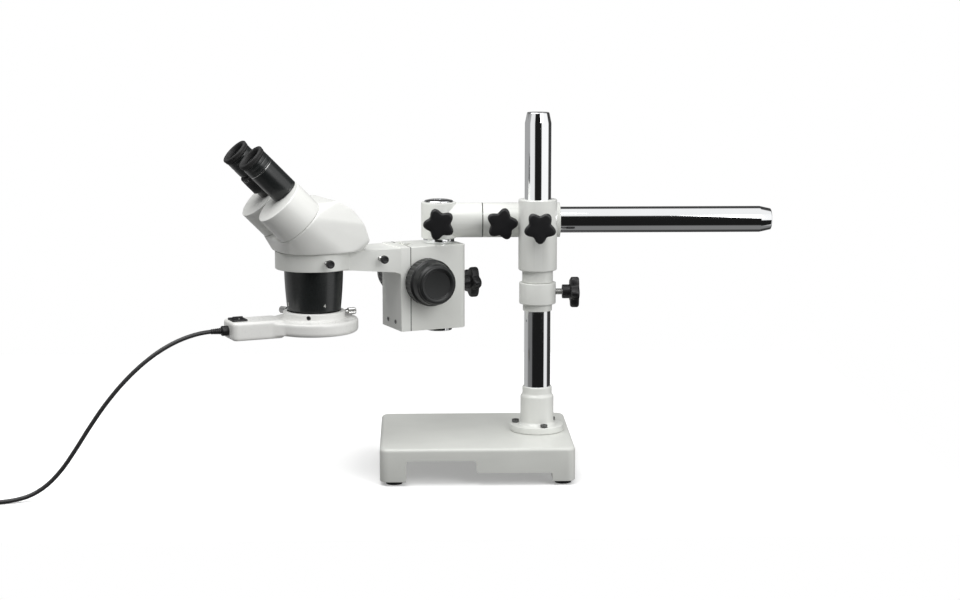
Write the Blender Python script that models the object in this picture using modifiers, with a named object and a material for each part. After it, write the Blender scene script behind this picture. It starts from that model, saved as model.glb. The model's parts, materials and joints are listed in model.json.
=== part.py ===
"""Stereo microscope on a single-arm boom stand, with a ring light and its lead.

Sizes are in millimetres and are turned into metres where a mesh is made. The stand's own frame has
X along the boom, Y away from the user's bench front and Z up. Heights are above the table.
The head hangs on a vertical pin: u is the direction from the head back to the pin, v is across it.
"""
import math

import bmesh
import bpy
from mathutils import Vector

MM = 0.001
GAP = 0.3                 # clearance between pieces that touch

# Driving sizes
ROD_R = 16.0              # pillar, boom and mounting pin are one stock of rod
BORE_R = ROD_R + GAP
PILLAR_X = 50.1           # pillar's axis from the middle of the microscope and stand
BOOM_Y = 39.0             # the boom passes behind the pillar
BOOM_Z = 300.5
PIN_X = -119.5            # mounting pin's axis, from the pillar
HEAD_YAW = 22.5           # turn of the arm about the pin, degrees
HEAD_REACH = 163.6        # from the pin's axis to the head's axis

BASE_LEFT = -192.0
BASE_RIGHT = 40.0
BASE_HALF_DEPTH = 102.5
BASE_TOP = 45.0
LEG_BOTTOM = 5.0
LEG_LEFT = 31.0           # length of the corner legs
LEG_RIGHT = 27.0
WALL = 8.0
FLANGE_SCREW_CIRCLE = 27.0
FLANGE_SCREW_ANGLES = (45.0, 165.0, 285.0)

PILLAR_TOP = 435.0
COLLAR_LOW = 194.2
COLLAR_HIGH = 228.7
COLLAR_STUD_Z = 217.0
BLOCK_HIGH = 330.0
SLEEVE_LEFT = -65.5
SLEEVE_RIGHT = 29.5
SLEEVE_R = 21.35
BOOM_CLAMP_X = -43.4
BOOM_RIGHT = 290.7
BOOM_LEFT = -100.0

KNUCKLE_LOW = 279.0
KNUCKLE_HIGH = 323.0
HOUSING_LOW = 170.3
HOUSING_HIGH = 273.0
HOUSING_FRONT = -50.4
HOUSING_BACK = 23.7
HALF_WIDTH = 31.0         # of the focus housing, the carriage and the arm
PLATE_FRONT = -62.7
BLOCK_CLAMP_Z = 221.6
PINION_U = -31.0
PINION_Z = 231.0
SHAFT_R = 4.0

MODULE = 1.0              # rack and pinion
PINION_TEETH = 12
PITCH_R = MODULE * PINION_TEETH / 2
ADDENDUM = 0.6
DEDENDUM = 0.85
BACKLASH = 0.2            # taken off each tooth at the pitch line
PRESSURE = math.radians(20.0)
RACK_TEETH_BELOW = 5      # rack teeth below and above the pinion, for travel down and up
RACK_TEETH_ABOVE = 12

RING_LOW = 251.0
RING_HIGH = 272.0
RING_R = 46.0
RING_BORE_R = 38.0
SPIGOT_R = RING_BORE_R - GAP
TURRET_LOW = 181.0
TURRET_SPIGOT_R = 29.0
OBJECTIVE_OFFSET = 11.0

MOUNT_FORWARD = 27.7      # middle of the slanted face that carries the prism housings
MOUNT_UP = 37.7
PRISM_SPACING = 63.5
PRISM_R = 31.0
PRISM_LENGTH = 37.2
TUBE_UP = 15.0            # eyetube's offset on its prism housing
TUBE_IN = 6.75
EYETUBE_R = 16.5
EYEPIECE_R = 15.0
LAMP_BORE_R = 32.5
LAMP_SCREW_Z = 195.2
HANDLE_END = 108.0
GLAND_Z = 182.0
GLAND_LENGTH = 21.0

STAR_TIP = 19.5           # of the clamping knobs
STUD_R = 3.9

CORD_R = 2.5
COIL_CENTRE = (-672.0, -146.0)
COIL_R = 27.5
COIL_OUTER_R = 35.4
COIL_INNER_R = 19.6
COIL_HIGH = 14.2

# The lead's route from the gland down to the table and to its coil, from the pillar's axis
CORD_ROUTE = (
    (-390.4, -73.2, 182.0), (-401.5, -77.8, 181.0), (-416.3, -83.9, 177.6),
    (-432.9, -90.8, 171.3), (-451.4, -98.5, 161.0), (-471.7, -106.9, 145.5),
    (-492.0, -115.3, 125.5), (-510.5, -122.9, 103.0), (-527.1, -129.8, 79.0),
    (-542.8, -136.3, 54.5), (-557.6, -142.5, 33.5), (-573.3, -149.0, 17.5),
    (-590.0, -155.9, 7.6), (-606.6, -162.8, 3.6), (-621.4, -168.9, 2.8),
    (-637.0, -174.6, 2.8), (-650.8, -177.6, 2.8),
)


def clear_scene():
    for obj in list(bpy.data.objects):
        bpy.data.objects.remove(obj, do_unlink=True)


def make_collection(name):
    group = bpy.data.collections.new(name)
    bpy.context.scene.collection.children.link(group)
    return group


def make_material(name, colour, roughness, metallic=0.0, alpha=1.0):
    mat = bpy.data.materials.new(name)
    mat.use_nodes = True
    shader = mat.node_tree.nodes["Principled BSDF"]
    shader.inputs["Base Color"].default_value = (*colour, 1.0)
    shader.inputs["Roughness"].default_value = roughness
    shader.inputs["Metallic"].default_value = metallic
    shader.inputs["Alpha"].default_value = alpha
    mat.diffuse_color = (*colour, 1.0)
    return mat


clear_scene()
PARTS = make_collection("boom_stereo_microscope")
CUTTERS = make_collection("cutters")
PAINT = ((0.80, 0.81, 0.78), 0.35)
GREY_PAINT = ((0.72, 0.73, 0.70), 0.45)
CHROME = ((0.85, 0.86, 0.87), 0.08, 1.0)
STEEL = ((0.62, 0.62, 0.62), 0.25, 1.0)
BLACK = ((0.02, 0.02, 0.02), 0.45)
SATIN_BLACK = ((0.025, 0.027, 0.027), 0.3)
RUBBER = ((0.03, 0.03, 0.03), 0.8)
WHITE = ((0.86, 0.86, 0.84), 0.4)
GLASS = ((0.75, 0.85, 0.85), 0.05, 0.0, 0.35)


# ---- helpers -----------------------------------------------------------------------------------

def add_axis(name, location, parent=None, turn=(0.0, 0.0, 0.0)):
    """An empty on an axis that pieces turn about or slide along."""
    axis = bpy.data.objects.new(name, None)
    axis.empty_display_size = 0.02
    axis.location = [c * MM for c in location]
    axis.rotation_euler = [math.radians(a) for a in turn]
    axis.parent = parent
    PARTS.objects.link(axis)
    return axis


def add_piece(name, mesh, look, parent, location=(0, 0, 0), turn=(0, 0, 0)):
    """A part with its own material, or a cutter where look is None."""
    obj = bpy.data.objects.new(name, mesh)
    obj.location = [c * MM for c in location]
    obj.rotation_euler = [math.radians(a) for a in turn]
    obj.parent = parent
    if look is None:
        CUTTERS.objects.link(obj)
        obj.hide_render = True
        obj.display_type = "WIRE"
    else:
        PARTS.objects.link(obj)
        mesh.materials.append(make_material(name, *look))
        mesh.shade_smooth()
        mesh.set_sharp_from_angle(angle=math.radians(35.0))
    return obj


def turned(name, profile, look, parent, location=(0, 0, 0), turn=(0, 0, 0), steps=24, start=0.0):
    """A turned piece. The (radius, height) profile runs down the outer side; one that doesn't
    start on the axis runs back up its bore and closes into a ring. start is the profile's angle."""
    c = math.cos(math.radians(start))
    s = math.sin(math.radians(start))
    mesh = bpy.data.meshes.new(name)
    bm = bmesh.new()
    verts = [bm.verts.new((r * c * MM, r * s * MM, z * MM)) for r, z in profile]
    for a, b in zip(verts, verts[1:]):
        bm.edges.new((a, b))
    if profile[0][0] > 0:
        bm.edges.new((verts[-1], verts[0]))
    bm.to_mesh(mesh)
    bm.free()
    obj = add_piece(name, mesh, look, parent, location, turn)
    screw = obj.modifiers.new("turn", "SCREW")
    screw.axis = "Z"
    screw.angle = 2 * math.pi
    screw.steps = steps
    screw.render_steps = steps
    screw.use_merge_vertices = True
    screw.merge_threshold = 0.00001
    screw.use_smooth_shade = True
    return obj


def round_edges(bm, wanted, radius, segments):
    edges = [e for e in bm.edges if wanted(e.verts[0].co / MM, e.verts[1].co / MM)]
    bmesh.ops.bevel(bm, geom=edges, offset=radius * MM, segments=segments, profile=0.5,
                    affect="EDGES")


def block(name, low, high, look, parent, corner=0.0, top=0.0, segments=3,
          corner_at=lambda p: True, location=(0, 0, 0), turn=(0, 0, 0)):
    """A box with rounded upright edges (where corner_at says) and a rounded top rim."""
    mesh = bpy.data.meshes.new(name)
    bm = bmesh.new()
    bmesh.ops.create_cube(bm, size=1.0)
    low = Vector(low)
    high = Vector(high)
    for v in bm.verts:
        v.co = Vector([(low[i] + high[i]) / 2 + v.co[i] * (high[i] - low[i]) for i in range(3)]) * MM
    if corner:
        round_edges(bm, lambda a, b: (a - b).xy.length < 0.001 and corner_at(a), corner, segments)
    if top:
        round_edges(bm, lambda a, b: a.z > high.z - 0.001 and b.z > high.z - 0.001, top, 2)
    bm.to_mesh(mesh)
    bm.free()
    return add_piece(name, mesh, look, parent, location, turn)


def slab(name, outline, low, high, look, parent, location=(0, 0, 0), turn=(0, 0, 0)):
    """A flat outline in X and Y carried from height low to height high."""
    mesh = bpy.data.meshes.new(name)
    bm = bmesh.new()
    face = bm.faces.new([bm.verts.new((x * MM, y * MM, low * MM)) for x, y in outline])
    out = bmesh.ops.extrude_face_region(bm, geom=[face])
    top = [g for g in out["geom"] if isinstance(g, bmesh.types.BMVert)]
    bmesh.ops.translate(bm, verts=top, vec=(0.0, 0.0, (high - low) * MM))
    bmesh.ops.recalc_face_normals(bm, faces=bm.faces)
    bm.to_mesh(mesh)
    bm.free()
    return add_piece(name, mesh, look, parent, location, turn)


def stacked(name, sections, look, parent, location=(0, 0, 0), turn=(0, 0, 0)):
    """A loft along Z through sections of one point count, closed by a cap at each end.
    Each section is (height, outline), and an outline is a list of (x, y)."""
    mesh = bpy.data.meshes.new(name)
    bm = bmesh.new()
    rings = [[bm.verts.new((x * MM, y * MM, height * MM)) for x, y in outline]
             for height, outline in sections]
    for lower, upper in zip(rings, rings[1:]):
        for i in range(len(lower)):
            bm.faces.new((lower[i - 1], lower[i], upper[i], upper[i - 1]))
    bm.faces.new(rings[0])
    bm.faces.new(rings[-1])
    bmesh.ops.recalc_face_normals(bm, faces=bm.faces)
    bm.to_mesh(mesh)
    bm.free()
    return add_piece(name, mesh, look, parent, location, turn)


def rod_cutter(name, radius, low, high, parent, location=(0, 0, 0), turn=(0, 0, 0), steps=24):
    """A round cutter, started off the main directions so that its edges miss its target's."""
    return turned(name, [(0, high), (radius, high), (radius, low), (0, low)], None, parent,
                  location, turn, steps, start=4.0)


def combine(obj, other, operation):
    mod = obj.modifiers.new(other.name, "BOOLEAN")
    mod.operation = operation
    mod.solver = "EXACT"
    mod.object = other


def cut(obj, *cutters):
    for cutter in cutters:
        combine(obj, cutter, "DIFFERENCE")


def join(obj, *others):
    for other in others:
        combine(obj, other, "UNION")


ALONG_X = (0.0, 90.0, 0.0)
AGAINST_X = (0.0, -90.0, 0.0)
ALONG_Y = (-90.0, 0.0, 0.0)
AGAINST_Y = (90.0, 0.0, 0.0)


# ---- clamping screws with star knobs -----------------------------------------------------------

def star_outline(tip, phase, count=25):
    """Five rounded lobes."""
    points = []
    for i in range(count):
        angle = 2 * math.pi * i / count
        lobe = 0.5 + 0.5 * math.cos(5 * (angle - math.radians(phase)))
        radius = tip * (0.68 + 0.32 * lobe ** 0.8)
        points.append((radius * math.cos(angle), radius * math.sin(angle)))
    return points


def circle_outline(radius, count=25):
    return [(radius * math.cos(2 * math.pi * i / count), radius * math.sin(2 * math.pi * i / count))
            for i in range(count)]


def star_knob(name, parent, location, turn, phase, moulded_on_stud=False):
    """A moulded knob; heights run outward from the axis of the rod that it clamps.
    It has either a socket for its stud or the stud itself."""
    inner_end = 16.6 if moulded_on_stud else 38.0
    inner_r = STUD_R if moulded_on_stud else STUD_R + GAP
    hub = 30.0
    sections = [
        (inner_end, circle_outline(inner_r)), (hub, circle_outline(inner_r)),
        (hub, circle_outline(8.5)), (39.6, circle_outline(8.5)),
        (39.6, star_outline(0.88 * STAR_TIP, phase)), (41.6, star_outline(STAR_TIP, phase)),
        (48.4, star_outline(STAR_TIP, phase)), (50.4, star_outline(0.88 * STAR_TIP, phase)),
    ]
    return stacked(name, sections, BLACK, parent, location, turn)


def clamp_stud(name, parent, location, turn):
    profile = [(0, 37.7), (3.3, 37.7), (STUD_R, 37.1), (STUD_R, 17.2), (3.3, 16.6), (0, 16.6)]
    return turned(name, profile, STEEL, parent, location, turn, steps=16)


def stud_hole(name, parent, location, turn):
    return rod_cutter(name, STUD_R + GAP, 12.0, 30.0, parent, location, turn, steps=16)


# ---- the stand ---------------------------------------------------------------------------------

stand = add_axis("pillar_axis", (PILLAR_X, 0, 0))
boom_axis = add_axis("boom_axis", (0, BOOM_Y, BOOM_Z), stand)


def around_pillar(angle, radius):
    turn = math.radians(angle)
    return radius * math.cos(turn), radius * math.sin(turn)


def make_base():
    base = block("base", (BASE_LEFT, -BASE_HALF_DEPTH, LEG_BOTTOM),
                 (BASE_RIGHT, BASE_HALF_DEPTH, BASE_TOP), GREY_PAINT, stand, corner=11.0, top=3.5,
                 segments=4)
    ceiling = BASE_TOP - WALL
    side = BASE_HALF_DEPTH - LEG_LEFT
    reach = BASE_HALF_DEPTH + 10.0
    cut(base,
        block("base_hollow_long", (BASE_LEFT + LEG_LEFT, WALL - BASE_HALF_DEPTH, -1),
              (BASE_RIGHT - LEG_RIGHT, BASE_HALF_DEPTH - WALL, ceiling), None, stand),
        block("base_hollow_wide", (BASE_LEFT + WALL, -side, -2),
              (BASE_RIGHT - WALL, side, ceiling), None, stand),
        block("base_grip_opening", (BASE_LEFT + LEG_LEFT + 0.4, -reach, -3), (-78.0, reach, 30.2),
              None, stand),
        block("base_skirt_front", (-90.0, -reach, -4), (BASE_RIGHT - LEG_RIGHT - 0.4, reach, 15.4),
              None, stand),
        block("base_skirt_side", (BASE_LEFT - 10, -side + 0.4, -5),
              (BASE_RIGHT + 10, side - 0.4, 15.2), None, stand))
    for n, angle in enumerate(FLANGE_SCREW_ANGLES):
        x, y = around_pillar(angle, FLANGE_SCREW_CIRCLE)
        cut(base, rod_cutter(f"base_screw_hole_{n + 1}", 2.8, 30.0, 50.0, stand, (x, y, 0),
                             steps=12))


def make_feet():
    profile = [(0, 4.7), (9.7, 4.7), (10.3, 4.1), (9.6, 0), (0, 0)]
    inset = 17.0
    for end, x in (("left", BASE_LEFT + inset), ("right", BASE_RIGHT - 14.0)):
        for side, sign in (("front", -1), ("rear", 1)):
            turned(f"foot_{side}_{end}", profile, RUBBER, stand,
                   (x, sign * (BASE_HALF_DEPTH - inset), 0), steps=14)


def make_flange():
    low = BASE_TOP + GAP
    plate = low + 8.0
    profile = [(17.2, 100.4), (18.0, 99.6), (18.0, 90.6), (20.35, 88.6), (20.35, plate + 2.0),
               (22.0, plate), (31.7, plate), (32.5, plate - 0.8), (32.5, low), (BORE_R, low),
               (BORE_R, 100.4)]
    flange = turned("pillar_flange", profile, PAINT, stand)
    head = [(0, 2.0), (2.2, 2.0), (2.2, 3.7), (3.7, 3.7), (4.3, 3.1), (4.3, GAP), (2.5, GAP),
            (2.5, -16.0), (0, -16.0)]
    for n, angle in enumerate(FLANGE_SCREW_ANGLES):
        x, y = around_pillar(angle, FLANGE_SCREW_CIRCLE)
        cut(flange, rod_cutter(f"flange_screw_hole_{n + 1}", 2.8, 40.0, 60.0, stand, (x, y, 0),
                               steps=12))
        turned(f"flange_screw_{n + 1}", head, STEEL, stand, (x, y, plate), steps=12)


def make_pillar():
    low = BASE_TOP + GAP
    profile = [(0, PILLAR_TOP), (12.8, PILLAR_TOP), (13.5, PILLAR_TOP - 0.7),
               (ROD_R, PILLAR_TOP - 13.0), (ROD_R, low + 1.0), (ROD_R - 1.0, low), (0, low)]
    turned("pillar", profile, CHROME, stand)


def make_safety_collar():
    shoulder = 202.8
    profile = [(21.3, COLLAR_HIGH), (22.25, COLLAR_HIGH - 0.9), (22.25, shoulder + 0.9),
               (21.3, shoulder), (17.75, shoulder), (17.75, COLLAR_LOW), (BORE_R, COLLAR_LOW),
               (BORE_R, COLLAR_HIGH)]
    collar = turned("safety_collar", profile, PAINT, stand)
    at = (0, 0, COLLAR_STUD_Z)
    cut(collar, stud_hole("collar_stud_hole", stand, at, ALONG_X))
    star_knob("collar_knob", stand, at, ALONG_X, 200.0)
    clamp_stud("collar_stud", stand, at, ALONG_X)


def make_cross_block():
    """The pillar's tube and the boom's sleeve cast as one, crossing behind the pillar."""
    low = COLLAR_HIGH + GAP
    neck = 243.5
    profile = [(0, BLOCK_HIGH), (22.4, BLOCK_HIGH), (23.4, BLOCK_HIGH - 1.0), (23.4, neck + 2.0),
               (21.4, neck), (18.75, neck), (18.75, low), (0, low)]
    cross = turned("cross_block", profile, PAINT, stand, steps=26)
    sleeve = turned("cross_sleeve", [(0, SLEEVE_RIGHT), (20.6, SLEEVE_RIGHT),
                                     (SLEEVE_R, SLEEVE_RIGHT - 0.8), (SLEEVE_R, SLEEVE_LEFT + 0.8),
                                     (20.6, SLEEVE_LEFT), (0, SLEEVE_LEFT)],
                    None, boom_axis, turn=ALONG_X)
    join(cross, sleeve)
    pillar_at = (0, 0, BOOM_Z)
    boom_at = (BOOM_CLAMP_X, BOOM_Y, BOOM_Z)
    cut(cross,
        rod_cutter("cross_pillar_bore", BORE_R, 200.0, 350.0, stand),
        rod_cutter("cross_boom_bore", BORE_R, -100.0, 60.0, boom_axis, turn=ALONG_X),
        stud_hole("pillar_clamp_hole", stand, pillar_at, AGAINST_Y),
        stud_hole("boom_clamp_hole", stand, boom_at, AGAINST_Y))
    star_knob("pillar_clamp_knob", stand, pillar_at, AGAINST_Y, -16.0)
    clamp_stud("pillar_clamp_stud", stand, pillar_at, AGAINST_Y)
    star_knob("boom_clamp_knob", stand, boom_at, AGAINST_Y, 5.0)
    clamp_stud("boom_clamp_stud", stand, boom_at, AGAINST_Y)


def make_boom():
    profile = [(0, BOOM_RIGHT), (12.3, BOOM_RIGHT), (13.0, BOOM_RIGHT - 0.7),
               (ROD_R, BOOM_RIGHT - 14.0), (ROD_R, BOOM_LEFT + 1.0), (ROD_R - 1.0, BOOM_LEFT),
               (0, BOOM_LEFT)]
    turned("boom_bar", profile, CHROME, boom_axis, turn=ALONG_X)


def make_knuckle():
    """The socket on the boom's end that holds the vertical mounting pin."""
    profile = [(0, KNUCKLE_HIGH), (20.6, KNUCKLE_HIGH), (21.5, KNUCKLE_HIGH - 0.9),
               (21.5, KNUCKLE_LOW + 0.9), (20.6, KNUCKLE_LOW), (0, KNUCKLE_LOW)]
    knuckle = turned("boom_knuckle", profile, PAINT, stand, (PIN_X, BOOM_Y, 0), steps=26)
    end = SLEEVE_LEFT - GAP
    sleeve = turned("knuckle_sleeve", [(0, end), (20.6, end), (SLEEVE_R, end - 0.8),
                                       (SLEEVE_R, PIN_X), (0, PIN_X)],
                    None, boom_axis, turn=ALONG_X)
    join(knuckle, sleeve)
    at = (PIN_X, BOOM_Y, BOOM_Z)
    cut(knuckle,
        rod_cutter("knuckle_pin_bore", BORE_R, 260.0, 340.0, stand, (PIN_X, BOOM_Y, 0)),
        rod_cutter("knuckle_boom_bore", BORE_R, BOOM_LEFT - GAP, 0.0, boom_axis, turn=ALONG_X),
        stud_hole("pin_clamp_hole", stand, at, AGAINST_Y))
    star_knob("pin_clamp_knob", stand, at, AGAINST_Y, 33.0)
    clamp_stud("pin_clamp_stud", stand, at, AGAINST_Y)


# ---- the focus block ---------------------------------------------------------------------------

pin_axis = add_axis("pin_axis", (PIN_X, BOOM_Y, 0), stand, (0, 0, HEAD_YAW))
shaft_axis = add_axis("focus_shaft_axis", (PINION_U, 0, PINION_Z), pin_axis)
head_axis = add_axis("head_axis", (-HEAD_REACH, 0, 0), pin_axis)


def make_mounting_pin():
    flange_low = HOUSING_HIGH + GAP
    flange_high = KNUCKLE_LOW - GAP
    profile = [(0, KNUCKLE_HIGH - GAP), (15.2, KNUCKLE_HIGH - GAP), (ROD_R, KNUCKLE_HIGH - 1.1),
               (ROD_R, flange_high), (19.0, flange_high), (19.0, flange_low), (ROD_R, flange_low),
               (ROD_R, 165.3), (15.2, 164.5), (0, 164.5)]
    pin = turned("mounting_pin", profile, CHROME, pin_axis)
    cut(pin, rod_cutter("pin_cap_hole", 4.3, 311.0, 330.0, pin_axis, steps=16))
    low = KNUCKLE_HIGH + GAP
    cap = [(0, low + 1.4), (4.9, low + 1.4), (4.9, low + 3.3), (12.0, low + 2.9),
           (17.0, low + 1.6), (17.8, low + 0.6), (17.8, low), (4.0, low), (4.0, 311.4),
           (0, 311.4)]
    turned("pin_cap", cap, CHROME, pin_axis)


def make_focus_housing():
    housing = block("focus_housing", (HOUSING_FRONT, -HALF_WIDTH, HOUSING_LOW),
                    (HOUSING_BACK, HALF_WIDTH, HOUSING_HIGH), PAINT, pin_axis, corner=8.0,
                    top=1.2, corner_at=lambda p: p.x > 0)
    dovetail = [(HOUSING_FRONT - 0.6, -14.3), (-44.1, -18.3), (-44.1, 18.3),
                (HOUSING_FRONT - 0.6, 14.3)]
    cut(housing,
        rod_cutter("housing_pin_bore", BORE_R, 160.0, 290.0, pin_axis),
        slab("housing_dovetail", dovetail, 160.0, 290.0, None, pin_axis),
        block("housing_rack_channel", (-45.0, -7.0, 161.0), (-36.0, 7.0, 289.0), None, pin_axis),
        block("housing_pinion_pocket", (-40.0, -6.8, PINION_Z - 9.0), (-22.4, 6.8, PINION_Z + 9.0),
              None, pin_axis),
        rod_cutter("housing_shaft_bore", SHAFT_R + GAP, -50.0, 50.0, shaft_axis, turn=ALONG_Y,
                   steps=14),
        stud_hole("housing_clamp_hole", pin_axis, (0, 0, BLOCK_CLAMP_Z), ALONG_X))
    star_knob("block_clamp_knob", pin_axis, (0, 0, BLOCK_CLAMP_Z), ALONG_X, 54.0,
              moulded_on_stud=True)


def tooth_angle(radius):
    """Half the angle that one pinion tooth covers at a radius, on an involute flank."""
    base_r = PITCH_R * math.cos(PRESSURE)
    slope = math.acos(min(1.0, base_r / radius))
    half = (math.pi * MODULE / 2 - BACKLASH) / (2 * PITCH_R)
    return half + (math.tan(PRESSURE) - PRESSURE) - (math.tan(slope) - slope)


def gear_outline(solid):
    """Pinion teeth, or a plain circle of the shaft with the same number of points."""
    root = PITCH_R - DEDENDUM
    tip = PITCH_R + ADDENDUM
    points = []
    for n in range(PINION_TEETH):
        middle = 2 * math.pi * n / PINION_TEETH
        for radius, side in ((root, -1), (PITCH_R, -1), (tip, -1), (tip, 1), (PITCH_R, 1),
                             (root, 1)):
            angle = middle + side * tooth_angle(radius)
            used = radius if solid else SHAFT_R
            points.append((used * math.cos(angle), used * math.sin(angle)))
    return points


def make_focus_drive():
    round_part = gear_outline(False)
    gear = gear_outline(True)
    half_gear = 4.5
    end = 65.0
    stacked("pinion_shaft", [(-end, round_part), (-half_gear, round_part), (-half_gear, gear),
                             (half_gear, gear), (half_gear, round_part), (end, round_part)],
            STEEL, shaft_axis, turn=ALONG_Y)
    knob = [(0, 68.2), (17.4, 68.2), (17.8, 69.4), (22.0, 69.8), (23.2, 69.0), (24.4, 66.0),
            (26.0, 58.0), (28.5, 52.0), (28.5, 35.0), (27.5, 34.0), (12.0, 34.0), (12.0, 32.5),
            (SHAFT_R + GAP, 32.5), (SHAFT_R + GAP, 65.4), (0, 65.4)]
    turned("focus_knob_right", knob, BLACK, shaft_axis, turn=AGAINST_Y, steps=26)
    turned("focus_knob_left", knob, BLACK, shaft_axis, turn=ALONG_Y, steps=26)


def make_rack():
    pitch = math.pi * MODULE
    line = PINION_U - PITCH_R
    half = (pitch / 2 - BACKLASH) / 2
    slope = math.tan(PRESSURE)
    root = half + DEDENDUM * slope
    tip = half - ADDENDUM * slope
    back = -44.1
    low = -(RACK_TEETH_BELOW + 0.5) * pitch
    high = (RACK_TEETH_ABOVE + 0.5) * pitch
    outline = [(line - DEDENDUM, low), (line - DEDENDUM, high), (back, high), (back, low)]
    teeth = []
    for n in range(-RACK_TEETH_BELOW, RACK_TEETH_ABOVE):
        middle = (n + 0.5) * pitch
        teeth += [(line - DEDENDUM, middle - root), (line + ADDENDUM, middle - tip),
                  (line + ADDENDUM, middle + tip), (line - DEDENDUM, middle + root)]
    outline[1:1] = teeth
    slab("focus_rack", outline, -4.8, 4.8, STEEL, pin_axis, (0, 0, PINION_Z), AGAINST_Y)


def make_carriage():
    """The sliding plate, the arm and the ring that holds the head, cast as one."""
    carriage = block("carriage", (PLATE_FRONT, -HALF_WIDTH, HOUSING_LOW),
                     (HOUSING_FRONT - GAP, HALF_WIDTH, HOUSING_HIGH), PAINT, pin_axis)
    tongue = [(HOUSING_FRONT - 0.6, -14.0), (-44.4, -18.0), (-44.4, 18.0),
              (HOUSING_FRONT - 0.6, 14.0)]
    arm = [(PLATE_FRONT + 1.0, 243.0), (PLATE_FRONT + 1.0, RING_HIGH - 0.1),
           (-HEAD_REACH, RING_HIGH - 0.2), (-HEAD_REACH, RING_LOW + 0.2), (-125.0, 249.0)]
    ring = turned("carriage_ring", [(0, RING_HIGH), (45.2, RING_HIGH), (RING_R, RING_HIGH - 0.8),
                                    (RING_R, RING_LOW + 0.8), (45.2, RING_LOW), (0, RING_LOW)],
                  None, head_axis, steps=32)
    join(carriage,
         slab("carriage_tongue", tongue, HOUSING_LOW + 2, HOUSING_HIGH - 2, None, pin_axis),
         slab("carriage_arm", arm, -HALF_WIDTH + 0.2, HALF_WIDTH - 0.2, None, pin_axis,
              turn=AGAINST_Y),
         ring)
    cut(carriage,
        rod_cutter("carriage_ring_bore", RING_BORE_R, 230.0, 290.0, head_axis, steps=32),
        rod_cutter("ring_screw_hole", 2.8, 34.0, 60.0, head_axis, (0, 0, 262.0), AGAINST_Y,
                   steps=12),
        rod_cutter("arm_screw_hole", 2.8, 18.5, 40.0, pin_axis, (-90.0, 0, 262.0), AGAINST_Y,
                   steps=12))


def thumbscrew(name, parent, location, turn, tip, shoulder, end, head_r, look):
    """A thumbscrew whose heights run outward along its axis."""
    profile = [(0, end), (head_r - 0.8, end), (head_r, end - 0.8), (head_r, shoulder + 0.6),
               (head_r - 0.6, shoulder), (2.4, shoulder), (2.4, tip), (0, tip)]
    turned(name, profile, look, parent, location, turn, steps=16)


def make_carriage_screws():
    thumbscrew("carriage_thumbscrew", pin_axis, (-90.0, 0, 262.0), AGAINST_Y, 18.9, 41.0, 48.0,
               4.9, BLACK)
    thumbscrew("ring_thumbscrew", head_axis, (0, 0, 262.0), AGAINST_Y, SPIGOT_R + GAP, 54.0, 61.0,
               4.9, BLACK)


# ---- the head ----------------------------------------------------------------------------------

def ocular_axis(side, sign):
    return add_axis(f"ocular_{side}_axis",
                    (-MOUNT_FORWARD, sign * PRISM_SPACING / 2, RING_HIGH + MOUNT_UP),
                    head_axis, (0, -45.0, 0))


def make_head_body():
    """A casting that runs from the ring up to the slanted face of the two prism housings."""
    mesh = bpy.data.meshes.new("head_body")
    bm = bmesh.new()
    slant = math.sqrt(0.5)
    face_r = PRISM_R + 0.6
    for sign in (-1, 1):
        for i in range(13):
            angle = math.pi * i / 12
            up = face_r * math.cos(angle)
            out = PRISM_SPACING / 2 + face_r * math.sin(angle)
            bm.verts.new((-MOUNT_FORWARD + up * slant, sign * out, RING_HIGH + MOUNT_UP + up * slant))
    low = RING_HIGH + GAP
    for i in range(32):
        angle = 2 * math.pi * i / 32
        c = math.cos(angle)
        s = math.sin(angle)
        length = 60.0 if c > 0 else 47.0
        bm.verts.new((length * math.copysign(abs(c) ** 0.8, c), 50.0 * math.copysign(abs(s) ** 0.8, s),
                      low))
    for x, up, half in ((16.0, 62.5, 42.0), (37.0, 51.0, 39.0), (51.0, 33.0, 40.0),
                        (58.5, 13.0, 38.0)):
        for sign in (-1, 1):
            bm.verts.new((x, sign * half, RING_HIGH + up))
    for v in bm.verts:
        v.co *= MM
    hull = bmesh.ops.convex_hull(bm, input=bm.verts)
    loose = [g for g in hull["geom_interior"] if isinstance(g, bmesh.types.BMVert)]
    bmesh.ops.delete(bm, geom=loose, context="VERTS")
    bmesh.ops.dissolve_limit(bm, angle_limit=math.radians(1.0), verts=bm.verts, edges=bm.edges)
    bmesh.ops.recalc_face_normals(bm, faces=bm.faces)
    bm.to_mesh(mesh)
    bm.free()
    body = add_piece("head_body", mesh, PAINT, head_axis)
    join(body, rod_cutter("head_spigot", SPIGOT_R, RING_LOW + 0.5, RING_HIGH + 3.0, head_axis,
                          steps=32))
    cut(body, rod_cutter("head_light_well", 26.0, 240.0, RING_HIGH + 33.0, head_axis))
    return body


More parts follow.
